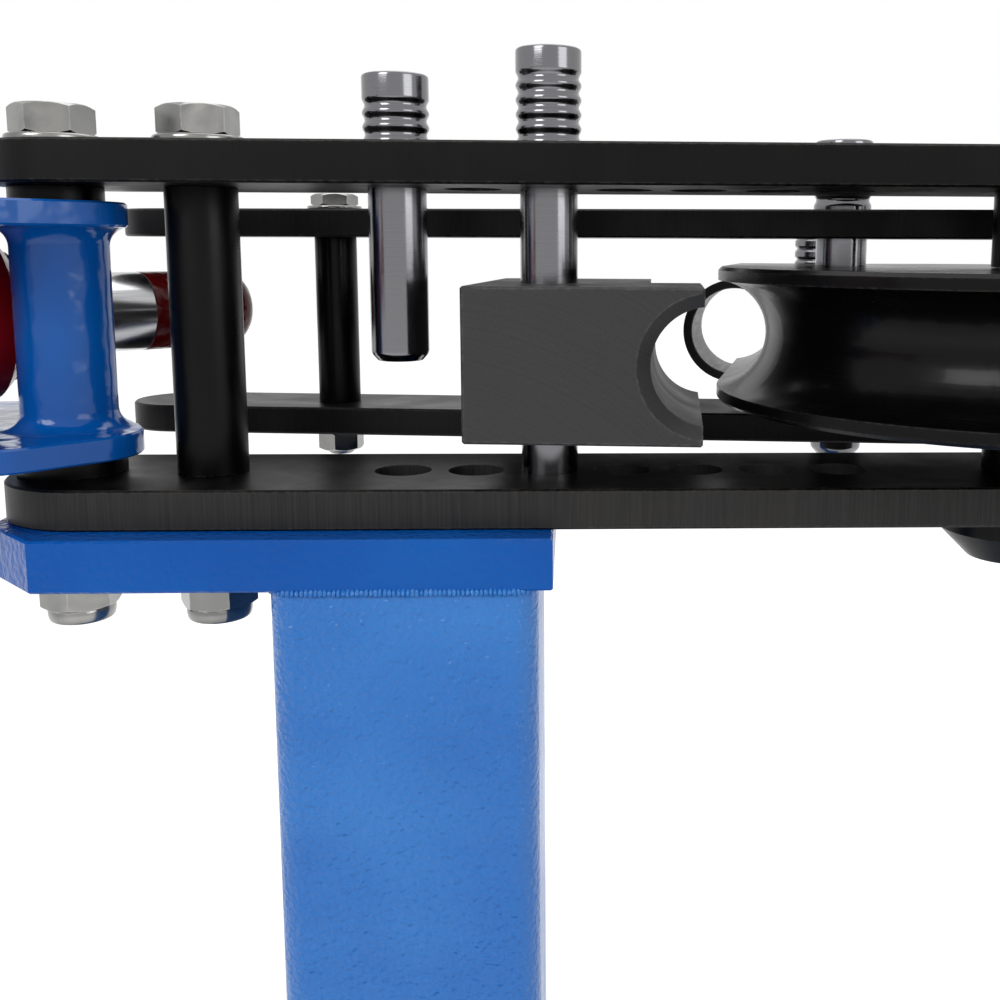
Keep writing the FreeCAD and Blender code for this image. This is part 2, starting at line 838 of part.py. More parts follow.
def draw_straight_outline(sketch, reach, outer):
    """The bent outline of the straight part, which keeps clear of the drive pin's hole."""
    inner = -size("die_straight_inner")
    step_x = -size("die_straight_step")
    step_y = size("die_straight_root")
    draw_polygon(sketch, [
        (outer, 0), (step_x, 0), (step_x, step_y), (inner, step_y), (inner, reach), (outer, reach),
    ])


def make_die():
    """Round die with a half-round groove; its notch holds the straight part."""
    body = body_named("bending_die", centre_x, 0, die_bottom, TURNED_DIE)
    rim = size("die_rim_radius")
    height = size("die_height")
    sketch = sketch_on(body, "DieOutline")
    draw_circle(sketch, 0, 0, rim)
    pad(body, sketch, height)
    round_edges(body, level, size("die_edge"), "Chamfer")
    notch = sketch_on(body, "DieNotch")
    draw_straight_outline(notch, rim, -rim - 2)
    pocket(body, notch, height, turned=True)

    # The round run of the groove starts where the straight part ends
    ring = sketch_on(body, "GrooveSection", "XZ_Plane")
    draw_circle(ring, -size("bend_radius"), height / 2, size("tube_radius"))
    before = body.Shape.Volume
    sweep = body.newObject("PartDesign::Groove", "RoundGroove")
    sweep.Profile = ring
    sweep.ReferenceAxis = (ring, ["V_Axis"])
    bind(sweep, "Angle", size("groove_turn"))
    doc.recompute()
    probe = Vector(0, -size("bend_radius").value + 4, height.value / 2)
    placed = body.Placement.multVec(probe)
    if body.Shape.isInside(placed, 0.01, True) or sweep.Shape.isInside(probe, 0.01, True):
        sweep.Reversed = True
        doc.recompute()
    if sweep.Shape.Volume > before - 1000:
        raise ValueError("the round groove cuts nothing")

    holes = sketch_on(body, "DieHoles")
    draw_circle(holes, 0, 0, pin_hole)
    for along in (-size("drive_hole_reach"), size("drive_hole_reach")):
        x, y = in_die(*on_link(along, size("link_offset")))
        draw_circle(holes, x, y, pin_hole)
    pocket(body, holes, height, turned=True)


def make_die_straight():
    """Straight clamping part welded into the round die, with the groove's straight run."""
    body = body_named("die_straight", centre_x, 0, die_bottom, TURNED_DIE)
    reach = size("die_straight")
    height = size("die_height")
    outline = sketch_on(body, "StraightOutline")
    draw_straight_outline(outline, reach, -size("die_rim_radius"))
    pad(body, outline, height)
    round_edges(body, is_outer_rim, size("die_edge"), "Chamfer")
    run = sketch_on(body, "StraightSection", "XZ_Plane")
    draw_circle(run, -size("bend_radius"), height / 2, size("tube_radius"))
    pocket(body, run, reach + size("die_edge"))


strap_along = size("strap_start") + size("strap_length") / 2
strap_level = die_middle - size("strap_drop")
strap_outer = size("tube_radius") + size("strap_play") + size("strap_wall")
tongue_half = size("tube_radius") - size("strap_wall") + size("running_gap")
lug_low = tongue_half + size("running_gap")
strap_pin_x, strap_pin_y = on_die(size("strap_pin_inset") - size("bend_radius"), strap_along)


def make_tongue():
    """The tongue welded to the straight part's end; the strap's lugs hold it between them."""
    half = tongue_half
    body = body_named("strap_tongue", centre_x, 0, strap_level - half, TURNED_DIE)
    outline = sketch_on(body, "TongueOutline")
    outer = size("tongue_outer")
    inner = size("tongue_inner")
    reach = size("die_straight")
    tip = size("tongue_end")
    draw_polygon(outline, [(-outer, reach), (-inner, reach), (-inner, tip), (-outer, tip)])
    pad(body, outline, half * 2)

    def far_corner(edge):
        return upright(edge) and edge.BoundBox.Center.y > reach.value + 1

    round_edges(body, far_corner, size("tongue_corner"))
    hole = sketch_on(body, "TonguePinHole")
    draw_circle(hole, size("strap_pin_inset") - size("bend_radius"), strap_along, pin_hole)
    pocket(body, hole, half * 2, turned=True)


def make_strap():
    """Half-tube hook around the tube, with two lugs that hold the tongue between them."""
    across_ring = TURNED_DIE * Rotation(Vector(1, 0, 0), -90)
    x, y = on_die(-size("bend_radius"), size("strap_start"))
    length = size("strap_length")
    ring = cylinder("StrapRing", strap_outer, length, x, y, strap_level, across_ring)
    half = size("tongue_outer") - size("tongue_inner")
    lug_half = half / 2
    lug_x, lug_y = on_die(-size("bend_radius"), strap_along - lug_half)
    lugs = box("StrapLugs", size("strap_pin_inset"), half, strap_outer * 2,
               lug_x, lug_y, strap_level - strap_outer, TURNED_DIE)
    eye = cylinder("StrapEye", lug_half, strap_outer * 2, strap_pin_x, strap_pin_y,
                   strap_level - strap_outer)
    solid = fuse("StrapSolid", [ring, lugs, eye])
    bore_radius = size("tube_radius") + size("strap_play")
    bore_x, bore_y = on_die(-size("bend_radius"), size("strap_start") - 1)
    bore = cylinder("StrapBore", bore_radius, length + 2, bore_x, bore_y, strap_level, across_ring)
    mouth = box("StrapMouth", size("strap_pin_inset") + half, length + 2, lug_low * 2,
                bore_x, bore_y, strap_level - lug_low, TURNED_DIE)
    pin_bore = cylinder("StrapPinBore", pin_hole, strap_outer * 2, strap_pin_x, strap_pin_y,
                        strap_level - strap_outer)
    keep(cut("StrapCut", solid, [bore, mouth, pin_bore]), "tube_strap")


def make_follow_block():
    """Block with a half-round groove that bears on the tube; its ends flare as a lead-in."""
    block_bottom = low_link_top + size("block_gap")
    body = body_named("follow_block", follow_x, 0, block_bottom, TURNED_BLOCK)
    left = -size("block_left")
    right = size("block_right")
    front = -size("block_front")
    rear = size("block_rear")
    height = size("block_height")
    outline = sketch_on(body, "BlockOutline")
    draw_polygon(outline, [(left, front), (right, front), (right, rear), (left, rear)])
    pad(body, outline, height)
    round_edges(body, lambda edge: True, size("block_edge"), "Chamfer")
    axis = right + size("block_groove_outset")
    wall = axis - size("tube_radius")
    flare = size("block_lead_in")
    profile = sketch_on(body, "GrooveProfile", "XY_Plane", height / 2)
    draw_polygon(profile, [
        (axis, front - 1), (wall - flare - 1, front - 1), (wall, front + flare),
        (wall, rear - flare), (wall - flare - 1, rear + 1), (axis, rear + 1),
    ])
    line = Part.LineSegment(Vector(axis.value, front.value, 0), Vector(axis.value, rear.value, 0))
    index = profile.addGeometry(line, True)
    pin_point(profile, index, 1, axis, front)
    pin_point(profile, index, 2, axis, rear)
    doc.recompute()
    sweep = body.newObject("PartDesign::Groove", "BlockGroove")
    sweep.Profile = profile
    sweep.ReferenceAxis = (profile, ["Axis0"])
    sweep.Angle = 360
    doc.recompute()
    step = sketch_on(body, "BlockStep", "XY_Plane", height)
    inner = right - size("block_step_width")
    start = size("block_step_start")
    draw_polygon(step, [
        (inner, start), (right + 2, start), (right + 2, rear + 2), (inner, rear + 2),
    ])
    pocket(body, step, size("block_step_depth"))
    hole = sketch_on(body, "BlockPinHole")
    draw_circle(hole, 0, 0, pin_hole)
    pocket(body, hole, height, turned=True)


# Yoke

def make_yoke_plate(label, floor, front):
    body = body_named(label, pivot_x, 0, floor, TURNED_RAM)
    outline = sketch_on(body, label + "_outline")
    back = size("yoke_back")
    near = -size("yoke_side")
    far = size("yoke_far_side")
    draw_polygon(outline, [
        (front, near), (front, far), (-back, far), (-back, size("yoke_tail_side")), (near, near),
    ])
    draw_circle(outline, 0, 0, bolt_hole)
    pad(body, outline, size("yoke_plate_thick"))
    round_edges(body, upright, size("yoke_corner"))
    round_edges(body, is_rim, size("edge_break"), "Chamfer")


def make_yoke_barrel():
    """The pivot barrel between the yoke plates; its flared ends stop at the plates' fronts."""
    radius = size("yoke_barrel_radius")
    flare = size("yoke_flare")
    root_height = size("yoke_flare_root")
    step = radius + root_height
    slope = flare - root_height
    low = low_yoke_top
    high = high_yoke_bottom
    pieces = [
        cylinder("BarrelCore", radius, size("yoke_inner_gap"), pivot_x, 0, low),
        cone("LowFlareRoot", radius + flare, step, root_height, pivot_x, 0, low),
        cone("LowFlareSlope", step, radius, slope, pivot_x, 0, low + root_height),
        cone("HighFlareSlope", radius, step, slope, pivot_x, 0, high - flare),
        cone("HighFlareRoot", step, radius + flare, root_height, pivot_x, 0, high - root_height),
    ]
    tools = [cylinder("BarrelBore", bolt_hole, size("yoke_inner_gap"), pivot_x, 0, low)]
    reach = radius + flare
    low_front = size("yoke_lower_front")
    high_front = size("yoke_upper_front")
    for name, front, floor in (("Low", low_front, low), ("High", high_front, high - flare)):
        x = pivot_x + front * ram_cos + reach * ram_sin
        y = front * ram_sin - reach * ram_cos
        tools.append(box(name + "FlareTrim", reach, reach * 2, flare, x, y, floor, TURNED_RAM))
    keep(cut("Barrel", fuse("BarrelSolid", pieces), tools), "yoke_barrel")


def make_yoke_collar():
    half = size("collar_half_width")
    back = ram_ahead + size("collar_back")
    x, y = by_ram(-back, half)
    block = box("CollarBlock", size("collar_length"), half * 2, size("yoke_inner_gap"),
                x, y, low_yoke_top, TURNED_RAM)
    bore_x, bore_y = by_ram(-back - 1)
    bore = cylinder("CollarBore", size("ram_radius"), size("collar_length") + 2,
                    bore_x, bore_y, ram_level, ALONG_RAM)
    keep(cut("Collar", block, [bore]), "yoke_collar")


# Ram

def make_ram():
    face = size("ram_face_back")
    length = size("ram_length")
    radius = size("ram_radius")
    rim = size("ram_rim")
    x, y = by_ram(-face - length)
    wall = cylinder("RamWall", radius, length - rim, x, y, ram_level, ALONG_RAM)
    lip_x, lip_y = by_ram(-face - rim)
    lip = cone("RamLip", radius, radius - rim, rim, lip_x, lip_y, ram_level, ALONG_RAM)
    solid = fuse("RamSolid", [wall, lip])
    bore_x, bore_y = by_ram(-face - length + size("ram_end_wall"))
    bore = cylinder("RamBore", size("ram_bore"), length - size("ram_end_wall"),
                    bore_x, bore_y, ram_level, ALONG_RAM)
    keep(cut("RamTube", solid, [bore]), "ram_cylinder")

    gland_length = size("gland_length")
    proud = size("gland_proud")
    edge = size("gland_edge")
    x, y = by_ram(-face - gland_length)
    plug = cylinder("GlandPlug", size("ram_bore"), gland_length, x, y, ram_level, ALONG_RAM)
    x, y = by_ram(-face)
    flange = cylinder("GlandFlange", size("gland_radius"), proud - edge, x, y, ram_level, ALONG_RAM)
    x, y = by_ram(proud - edge - face)
    crown = cone("GlandCrown", size("gland_radius"), size("gland_radius") - edge, edge,
                 x, y, ram_level, ALONG_RAM)
    solid = fuse("GlandSolid", [plug, flange, crown])
    x, y = by_ram(-face - gland_length - 1)
    bore = cylinder("GlandBore", size("rod_radius") + size("pin_play"), gland_length + proud + 2,
                    x, y, ram_level, ALONG_RAM)
    keep(cut("Gland", solid, [bore]), "ram_gland")

    piston_back = face + length - size("ram_end_wall") - size("piston_rest_gap")
    piston_front = piston_back - size("piston_length")
    end_back = size("rod_end_back")
    x, y = by_ram(-piston_front)
    keep(cylinder("Rod", size("rod_radius"), piston_front - end_back, x, y, ram_level, ALONG_RAM),
         "ram_rod")
    x, y = by_ram(-piston_back)
    disc = cylinder("PistonDisc", size("ram_bore") - size("pin_play"), size("piston_length"),
                    x, y, ram_level, ALONG_RAM)
    inset = (size("piston_length") - size("seal_width")) / 2
    x, y = by_ram(inset - piston_back)
    land = cylinder("PistonLand", size("ram_bore") + 1, size("seal_width"),
                    x, y, ram_level, ALONG_RAM)
    core = cylinder("PistonCore", size("ram_bore") - size("seal_depth"), size("seal_width"),
                    x, y, ram_level, ALONG_RAM)
    channel = cut("PistonChannel", land, [core])
    keep(cut("Piston", disc, [channel]), "ram_piston")
    rim_solid = cylinder("SealRim", size("ram_bore") - size("seal_play"), size("seal_width"),
                         x, y, ram_level, ALONG_RAM)
    rim_bore = cylinder("SealBore", size("ram_bore") - size("seal_depth"), size("seal_width"),
                        x, y, ram_level, ALONG_RAM)
    keep(cut("Seal", rim_solid, [rim_bore]), "ram_seal")

    # The eye on the rod's end stands between the links and takes the ram pin
    end_radius = size("rod_end_radius")
    end_edge = size("rod_end_edge")
    front = size("rod_end_front")
    crown = size("rod_end_crown")
    x, y = by_ram(-end_back)
    heel = cone("EyeHeel", end_radius - end_edge, end_radius, end_edge, x, y, ram_level, ALONG_RAM)
    x, y = by_ram(end_edge - end_back)
    barrel = cylinder("EyeBarrel", end_radius, end_back + front - end_edge - crown,
                      x, y, ram_level, ALONG_RAM)
    x, y = by_ram(front - crown)
    toe = cone("EyeToe", end_radius, end_radius - crown, crown, x, y, ram_level, ALONG_RAM)
    solid = fuse("EyeSolid", [heel, barrel, toe])
    pin_bore = cylinder("EyeBore", size("ram_pin_radius"), end_radius * 2 + 2,
                        ram_pin_x, ram_pin_y, ram_level - end_radius - 1)
    keep(cut("Eye", solid, [pin_bore]), "rod_end")
    end_gap = size("ram_pin_end_gap")
    keep(cylinder("RamPin", size("ram_pin_radius"), size("link_inner_gap") - end_gap * 2,
                  ram_pin_x, ram_pin_y, low_link_top + end_gap), "ram_pin")


# Pump and handle at the tail of the ram

tail_front = size("ram_face_back") + size("ram_length")
tail_top = ram_level + size("tail_height") / 2
pump_at = tail_front + size("pump_inset")
fulcrum_at = pump_at - size("fulcrum_reach")
lever_level = tail_top + size("fulcrum_rise")
TO_NEAR_SIDE = TURNED_RAM * Rotation(Vector(1, 0, 0), 90)
TO_FAR_SIDE = TURNED_RAM * Rotation(Vector(1, 0, 0), -90)


def make_pump():
    length = size("tail_length")
    x, y = by_ram(-tail_front - length)
    block = body_named("pump_block", x, y, tail_top - size("tail_height"), TURNED_RAM)
    half = size("tail_width") / 2
    outline = sketch_on(block, "PumpOutline")
    draw_polygon(outline, [(0, -half), (length, -half), (length, half), (0, half)])
    pad(block, outline, size("tail_height"))
    round_edges(block, upright, size("tail_corner"))
    round_edges(block, is_rim, size("edge_break") * 2, "Chamfer")

    x, y = by_ram(-pump_at)
    radius = size("pump_radius")
    height = size("pump_height")
    edge = size("pump_edge")
    wall = cylinder("PumpWall", radius, height - edge, x, y, tail_top)
    lip = cone("PumpLip", radius, radius - edge, edge, x, y, tail_top + height - edge)
    solid = fuse("PumpSolid", [wall, lip])
    bore = cylinder("PumpBore", size("plunger_radius") + size("pin_play"), height,
                    x, y, tail_top + size("pump_floor"))
    keep(cut("PumpTube", solid, [bore]), "pump_cylinder")

    foot = tail_top + height - size("plunger_depth")
    top = lever_level + size("plunger_pin_radius") * 2
    rod = cylinder("PlungerRod", size("plunger_radius"), top - foot, x, y, foot)
    pin_half = size("plunger_radius") + size("lever_cheek_thick") + size("lever_pin_end")
    side_x, side_y = by_ram(-pump_at, pin_half)
    cross = cylinder("PlungerPin", size("plunger_pin_radius"), pin_half * 2,
                     side_x, side_y, lever_level, TO_FAR_SIDE)
    keep(fuse("Plunger", [rod, cross]), "pump_plunger")

    # The post stands between the cheeks of the handle lever
    width = size("fulcrum_half_width")
    thick = size("plunger_radius")
    x, y = by_ram(-fulcrum_at - width, thick)
    post = box("PostPlate", width * 2, thick * 2, size("fulcrum_rise"), x, y, tail_top, TURNED_RAM)
    x, y = by_ram(-fulcrum_at, thick)
    eye = cylinder("PostEye", width, thick * 2, x, y, lever_level, TO_FAR_SIDE)
    hole = cylinder("PostBore", size("fulcrum_pin_radius"), thick * 2, x, y, lever_level,
                    TO_FAR_SIDE)
    keep(cut("Post", fuse("PostSolid", [post, eye]), [hole]), "pump_post")
    pin_x, pin_y = by_ram(-fulcrum_at, pin_half)
    keep(cylinder("FulcrumPin", size("fulcrum_pin_radius"), pin_half * 2, pin_x, pin_y,
                  lever_level, TO_FAR_SIDE), "fulcrum_pin")


def make_handle():
    """Two cheeks on the fulcrum pin carry the sloping socket for the handle bar."""
    width = size("lever_cheek_half_width")
    thick = size("lever_cheek_thick")
    inner = size("plunger_radius") + size("running_gap")
    end_at = pump_at + size("lever_cheek_reach")
    cheeks = []
    for number, side in enumerate((inner + thick, -inner)):
        x, y = by_ram(-end_at, side)
        plate = box(f"CheekPlate{number}", end_at - fulcrum_at, thick, width * 2,
                    x, y, lever_level - width, TURNED_RAM)
        x, y = by_ram(-fulcrum_at, side)
        nose = cylinder(f"CheekNose{number}", width, thick, x, y, lever_level, TO_FAR_SIDE)
        x, y = by_ram(-end_at, side)
        heel = cylinder(f"CheekHeel{number}", width, thick, x, y, lever_level, TO_FAR_SIDE)
        cheeks.append(fuse(f"Cheek{number}", [plate, nose, heel]))
    reach = inner + thick + 1
    x, y = by_ram(-fulcrum_at, reach)
    tools = [cylinder("CheekBore", size("fulcrum_pin_radius") + size("pin_play"), reach * 2,
                      x, y, lever_level, TO_FAR_SIDE)]
    slot = size("plunger_pin_radius") + size("slot_play")
    for name, at in (("Near", pump_at - size("slot_start")), ("Far", pump_at + size("slot_reach"))):
        x, y = by_ram(-at, reach)
        tools.append(cylinder(name + "SlotEnd", slot, reach * 2, x, y, lever_level, TO_FAR_SIDE))
    x, y = by_ram(-pump_at - size("slot_reach"), reach)
    tools.append(box("SlotMiddle", size("slot_reach") + size("slot_start"), reach * 2, slot * 2,
                     x, y, lever_level - slot, TURNED_RAM))
    slope = size("socket_slope")
    up = sine(slope)
    back = cosine(slope)
    lean = TURNED_RAM * Rotation(Vector(0, 1, 0), slope.value - 90)

    def on_socket(distance):
        x, y = by_ram(-end_at - distance * back)
        return x, y, lever_level + distance * up

    length = size("socket_length")
    outer = size("socket_radius")
    x, y, z = on_socket(term(0))
    tools.append(cylinder("SocketSeat", outer, length, x, y, z, lean))
    keep(cut("Cheeks", group("CheekPair", cheeks), tools), "handle_cheeks")
    wall = cylinder("SocketWall", outer, length, x, y, z, lean)
    insert = size("handle_insert")
    x, y, z = on_socket(length - insert)
    bore = cylinder("SocketBore", size("socket_bore"), insert + 1, x, y, z, lean)
    keep(cut("Socket", wall, [bore]), "handle_socket")
    bar_start = length - insert + 1
    x, y, z = on_socket(bar_start)
    bar_radius = size("socket_bore") - size("handle_play")
    keep(cylinder("HandleBar", bar_radius, size("handle_length"), x, y, z, lean), "pump_handle")
    grip_length = size("grip_length")
    grip_wall = size("grip_wall")
    x, y, z = on_socket(bar_start + size("handle_length") - grip_length)
    sleeve = cylinder("GripSleeve", bar_radius + grip_wall, grip_length + grip_wall, x, y, z, lean)
    hollow = cylinder("GripHollow", bar_radius, grip_length, x, y, z, lean)
    keep(cut("Grip", sleeve, [hollow]), "handle_grip")


def make_valve():
    """Release valve on the operator's side of the pump block, and the oil filler plug."""
    at = tail_front + size("tail_length") / 2
    half = size("tail_width") / 2
    x, y = by_ram(-at, half)
    length = size("valve_length")
    level_z = ram_level - size("tail_height") / 4
    stem = cylinder("ValveStem", size("valve_radius"), length, x, y, level_z, TO_NEAR_SIDE)
    bar_x, bar_y = by_ram(-at - size("valve_bar_length") / 2, half + size("valve_bar_reach"))
    bar = cylinder("ValveBar", size("valve_bar_radius"), size("valve_bar_length"),
                   bar_x, bar_y, level_z, ALONG_RAM)
    keep(fuse("Valve", [stem, bar]), "release_valve")
    x, y = by_ram(-tail_front - size("filler_inset"))
    keep(hexagon("Filler", size("filler_radius"), size("filler_height"), x, y, tail_top),
         "filler_plug")


make_base_plate()
make_gusset_group()
make_column()
make_head_plate()
make_frame_arm("lower_arm", deck)
make_frame_arm("upper_arm", high_arm_bottom)
make_frame_fasteners()
make_frame_spacers()
make_centre_boss()
make_die_bushes()
make_link("lower_link", low_link_bottom)
make_link("upper_link", high_link_bottom)
make_link_fasteners()
make_die()
make_die_straight()
make_tongue()
make_strap()
make_follow_block()
make_yoke_plate("yoke_lower_plate", low_yoke_bottom, size("yoke_lower_front"))
make_yoke_plate("yoke_upper_plate", high_yoke_bottom, size("yoke_upper_front"))
make_yoke_barrel()
make_yoke_collar()
make_ram()
make_pump()
make_handle()
make_valve()

make_pin("follow_pin", follow_x, 0, high_arm_top, size("long_head_height"), 5,
         deck + size("pin_foot_lift"))
make_pin("spare_pin", size("first_hole_x"), 0, high_arm_top, size("short_head_height"), 3,
         high_arm_top - size("spare_pin_reach"))
make_pin("near_drive_pin", drive_x, drive_y, high_link_top, size("drive_head_height"), 4,
         low_link_bottom - size("pin_tail"))
make_pin("far_drive_pin", far_drive_x, far_drive_y, high_link_top, size("drive_head_height"), 4,
         low_link_bottom - size("pin_tail"))
make_pin("strap_pin", strap_pin_x, strap_pin_y, strap_level + strap_outer,
         size("drive_head_height"), 4, strap_level - strap_outer - size("pin_tail"))
keep(cylinder("CentrePin", size("pin_radius"), high_arm_top - deck + size("boss_height"),
              centre_x, 0, deck - size("boss_height")), "centre_pin")

doc.recompute()
os.makedirs("parts", exist_ok=True)
for item in doc.Objects:
    if "Invalid" in item.State or "Error" in item.State:
        raise ValueError(item.Name + " is not built: " + str(item.State))
for item in sub_parts:
    shape = item.Shape
    if shape.isNull() or not shape.isValid() or shape.Volume <= 0:
        raise ValueError(item.Label + " has no sound shape")
    shape.exportStep("parts/" + item.Label + ".step")
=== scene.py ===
import json
import math

import bmesh
import bpy
from mathutils import Matrix, Vector

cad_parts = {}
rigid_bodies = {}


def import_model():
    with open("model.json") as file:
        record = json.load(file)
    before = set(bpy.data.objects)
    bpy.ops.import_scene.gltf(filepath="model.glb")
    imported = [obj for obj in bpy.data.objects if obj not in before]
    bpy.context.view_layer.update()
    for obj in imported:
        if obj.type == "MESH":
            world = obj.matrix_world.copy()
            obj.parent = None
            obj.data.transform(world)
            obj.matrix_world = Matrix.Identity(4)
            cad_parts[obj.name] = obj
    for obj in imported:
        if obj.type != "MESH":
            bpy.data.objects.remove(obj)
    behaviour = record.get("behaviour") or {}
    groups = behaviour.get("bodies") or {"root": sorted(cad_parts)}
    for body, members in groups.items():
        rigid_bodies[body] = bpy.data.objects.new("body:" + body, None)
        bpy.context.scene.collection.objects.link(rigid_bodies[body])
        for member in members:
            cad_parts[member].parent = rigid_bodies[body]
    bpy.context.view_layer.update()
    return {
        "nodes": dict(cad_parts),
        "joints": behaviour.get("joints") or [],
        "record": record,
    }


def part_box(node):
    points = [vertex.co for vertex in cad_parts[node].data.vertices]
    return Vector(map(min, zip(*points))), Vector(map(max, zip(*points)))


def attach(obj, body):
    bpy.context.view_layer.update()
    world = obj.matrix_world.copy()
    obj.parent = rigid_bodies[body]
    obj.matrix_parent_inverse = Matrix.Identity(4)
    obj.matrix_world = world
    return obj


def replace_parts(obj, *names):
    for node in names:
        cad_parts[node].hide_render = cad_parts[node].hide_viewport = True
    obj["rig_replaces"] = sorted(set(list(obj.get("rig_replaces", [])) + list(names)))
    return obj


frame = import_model()

MM = 0.001

# How far each stands turned about the upright at rest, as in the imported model
RAM_TURN = math.radians(46.0)
LINK_TURN = math.radians(-6.3)
DIE_TURN = math.radians(-13.0)
BLOCK_TURN = math.radians(-5.3)


def middle(node):
    low, high = (Vector(corner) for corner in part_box(node))
    return (low + high) / 2


def top_of(node):
    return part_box(node)[1][2]


def bottom_of(node):
    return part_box(node)[0][2]


def add_object(name, data):
    made = bpy.data.objects.new(name, data)
    bpy.context.scene.collection.objects.link(made)
    return made


centre_pin_at = middle("centre_pin")
yoke_pivot_at = middle("yoke_barrel")
ram_pin_at = middle("ram_pin")
follow_pin_at = middle("follow_pin")
strap_pin_at = middle("strap_pin")
deck = bottom_of("lower_arm")
ram_level = middle("ram_cylinder").z
ram_ahead = Vector((math.cos(RAM_TURN), math.sin(RAM_TURN), 0.0))
ram_side = Vector((math.sin(RAM_TURN), -math.cos(RAM_TURN), 0.0))
die_across = Vector((math.cos(DIE_TURN), math.sin(DIE_TURN), 0.0))


# Camera: the photograph's own view, worked out from the edges of the arms, plates and column

PHOTO_SIDE_PX = 1000
FOCAL_PX = 1115.65
OPTICAL_CENTRE_PX = (613.67, 402.22)
SENSOR_WIDTH_MM = 36.0
CAMERA_PITCH = 0.13744
CAMERA_YAW = -0.03797
CAMERA_ROLL = 0.004216
CAMERA_PLACE = (0.06347, -0.45566)
CAMERA_ABOVE_DECK = 0.10723


def place_camera():
    lens = bpy.data.cameras.new("photo_lens")
    camera = add_object("photo_camera", lens)
    lens.sensor_width = SENSOR_WIDTH_MM
    lens.lens = FOCAL_PX / PHOTO_SIDE_PX * SENSOR_WIDTH_MM
    lens.shift_x = (PHOTO_SIDE_PX / 2 - OPTICAL_CENTRE_PX[0]) / PHOTO_SIDE_PX
    lens.shift_y = (OPTICAL_CENTRE_PX[1] - PHOTO_SIDE_PX / 2) / PHOTO_SIDE_PX
    lens.clip_start = 0.01
    lens.clip_end = 100
    camera.location = CAMERA_PLACE + (deck + CAMERA_ABOVE_DECK,)
    facing = Matrix.Rotation(CAMERA_YAW, 4, "Z") @ Matrix.Rotation(math.pi / 2 - CAMERA_PITCH, 4, "X")
    camera.rotation_euler = (facing @ Matrix.Rotation(CAMERA_ROLL, 4, "Z")).to_euler()
    bpy.context.scene.camera = camera


place_camera()


# Shared surface effects

def new_group(name, inputs, outputs):
    """A shader node group with named inputs and outputs."""
    group = bpy.data.node_groups.new(name, "ShaderNodeTree")
    for label, kind, value in inputs:
        socket = group.interface.new_socket(label, in_out="INPUT", socket_type=kind)
        if value is not None:
            socket.default_value = value
    for label, kind in outputs:
        group.interface.new_socket(label, in_out="OUTPUT", socket_type=kind)
    entry = group.nodes.new("NodeGroupInput")
    leave = group.nodes.new("NodeGroupOutput")
    return group, entry, leave


def add_node(tree, kind, **settings):
    """A new node with its settings, or plain values in the inputs of those names."""
    item = tree.nodes.new(kind)
    for key, value in settings.items():
        if key in item.bl_rna.properties:
            setattr(item, key, value)
        else:
            item.inputs[key].default_value = value
    return item


def work_out(tree, operation, first, second=None, clamp=False):
    """One step of arithmetic on sockets or numbers."""
    item = tree.nodes.new("ShaderNodeMath")
    item.operation = operation
    item.use_clamp = clamp
    for socket, value in zip(item.inputs, (first, second)):
        if value is None:
            continue
        if isinstance(value, (int, float)):
            socket.default_value = value
        else:
            tree.links.new(value, socket)
    return item.outputs[0]


def blend_colours(tree, amount, first, second):
    """The first colour where the amount is 0, the second where it is 1."""
    item = tree.nodes.new("ShaderNodeMix")
    item.data_type = "RGBA"
    for socket, value in ((item.inputs[0], amount), (item.inputs[6], first), (item.inputs[7], second)):
        if isinstance(value, tuple):
            socket.default_value = value
        else:
            tree.links.new(value, socket)
    return item.outputs[2]


def remap(tree, value, low, high, out_low=0.0, out_high=1.0):
    """The value stretched from low..high to out_low..out_high, and held there beyond."""
    item = tree.nodes.new("ShaderNodeMapRange")
    tree.links.new(value, item.inputs[0])
    for index, number in enumerate((low, high, out_low, out_high), 1):
        item.inputs[index].default_value = number
    return item.outputs[0]


def noise_on(tree, place, **settings):
    """Noise over the given coordinates; its pattern is the output named Fac."""
    noise = add_node(tree, "ShaderNodeTexNoise", **settings)
    tree.links.new(place, noise.inputs["Vector"])
    return noise


def distance_over(tree, first, second):
    """The distance that two coordinates at right angles span."""
    squares = work_out(tree, "ADD", work_out(tree, "MULTIPLY", first, first),
                       work_out(tree, "MULTIPLY", second, second))
    return work_out(tree, "SQRT", squares)


def make_edge_wear_group():
    """Mask of the sharp edges, broken up by noise."""
    group, entry, leave = new_group(
        "edge_wear",
        [("Vector", "NodeSocketVector", None), ("Width", "NodeSocketFloat", 0.0012),
         ("Amount", "NodeSocketFloat", 0.6)],
        [("Mask", "NodeSocketFloat")])
    rounded = group.nodes.new("ShaderNodeBevel")
    rounded.samples = 4
    group.links.new(entry.outputs["Width"], rounded.inputs["Radius"])
    surface = group.nodes.new("ShaderNodeNewGeometry")
    dot = group.nodes.new("ShaderNodeVectorMath")
    dot.operation = "DOT_PRODUCT"
    group.links.new(rounded.outputs[0], dot.inputs[0])
    group.links.new(surface.outputs["Normal"], dot.inputs[1])
    bend = work_out(group, "SUBTRACT", 1.0, dot.outputs["Value"])
    edge = remap(group, bend, 0.02, 0.16)
    speck = noise_on(group, entry.outputs["Vector"], Scale=420.0, Detail=4.0)
    broken = remap(group, speck.outputs["Fac"], 0.40, 0.62)
    worn = work_out(group, "MULTIPLY", edge, broken)
    worn = work_out(group, "MULTIPLY", worn, entry.outputs["Amount"], clamp=True)
    group.links.new(worn, leave.inputs["Mask"])
    return group


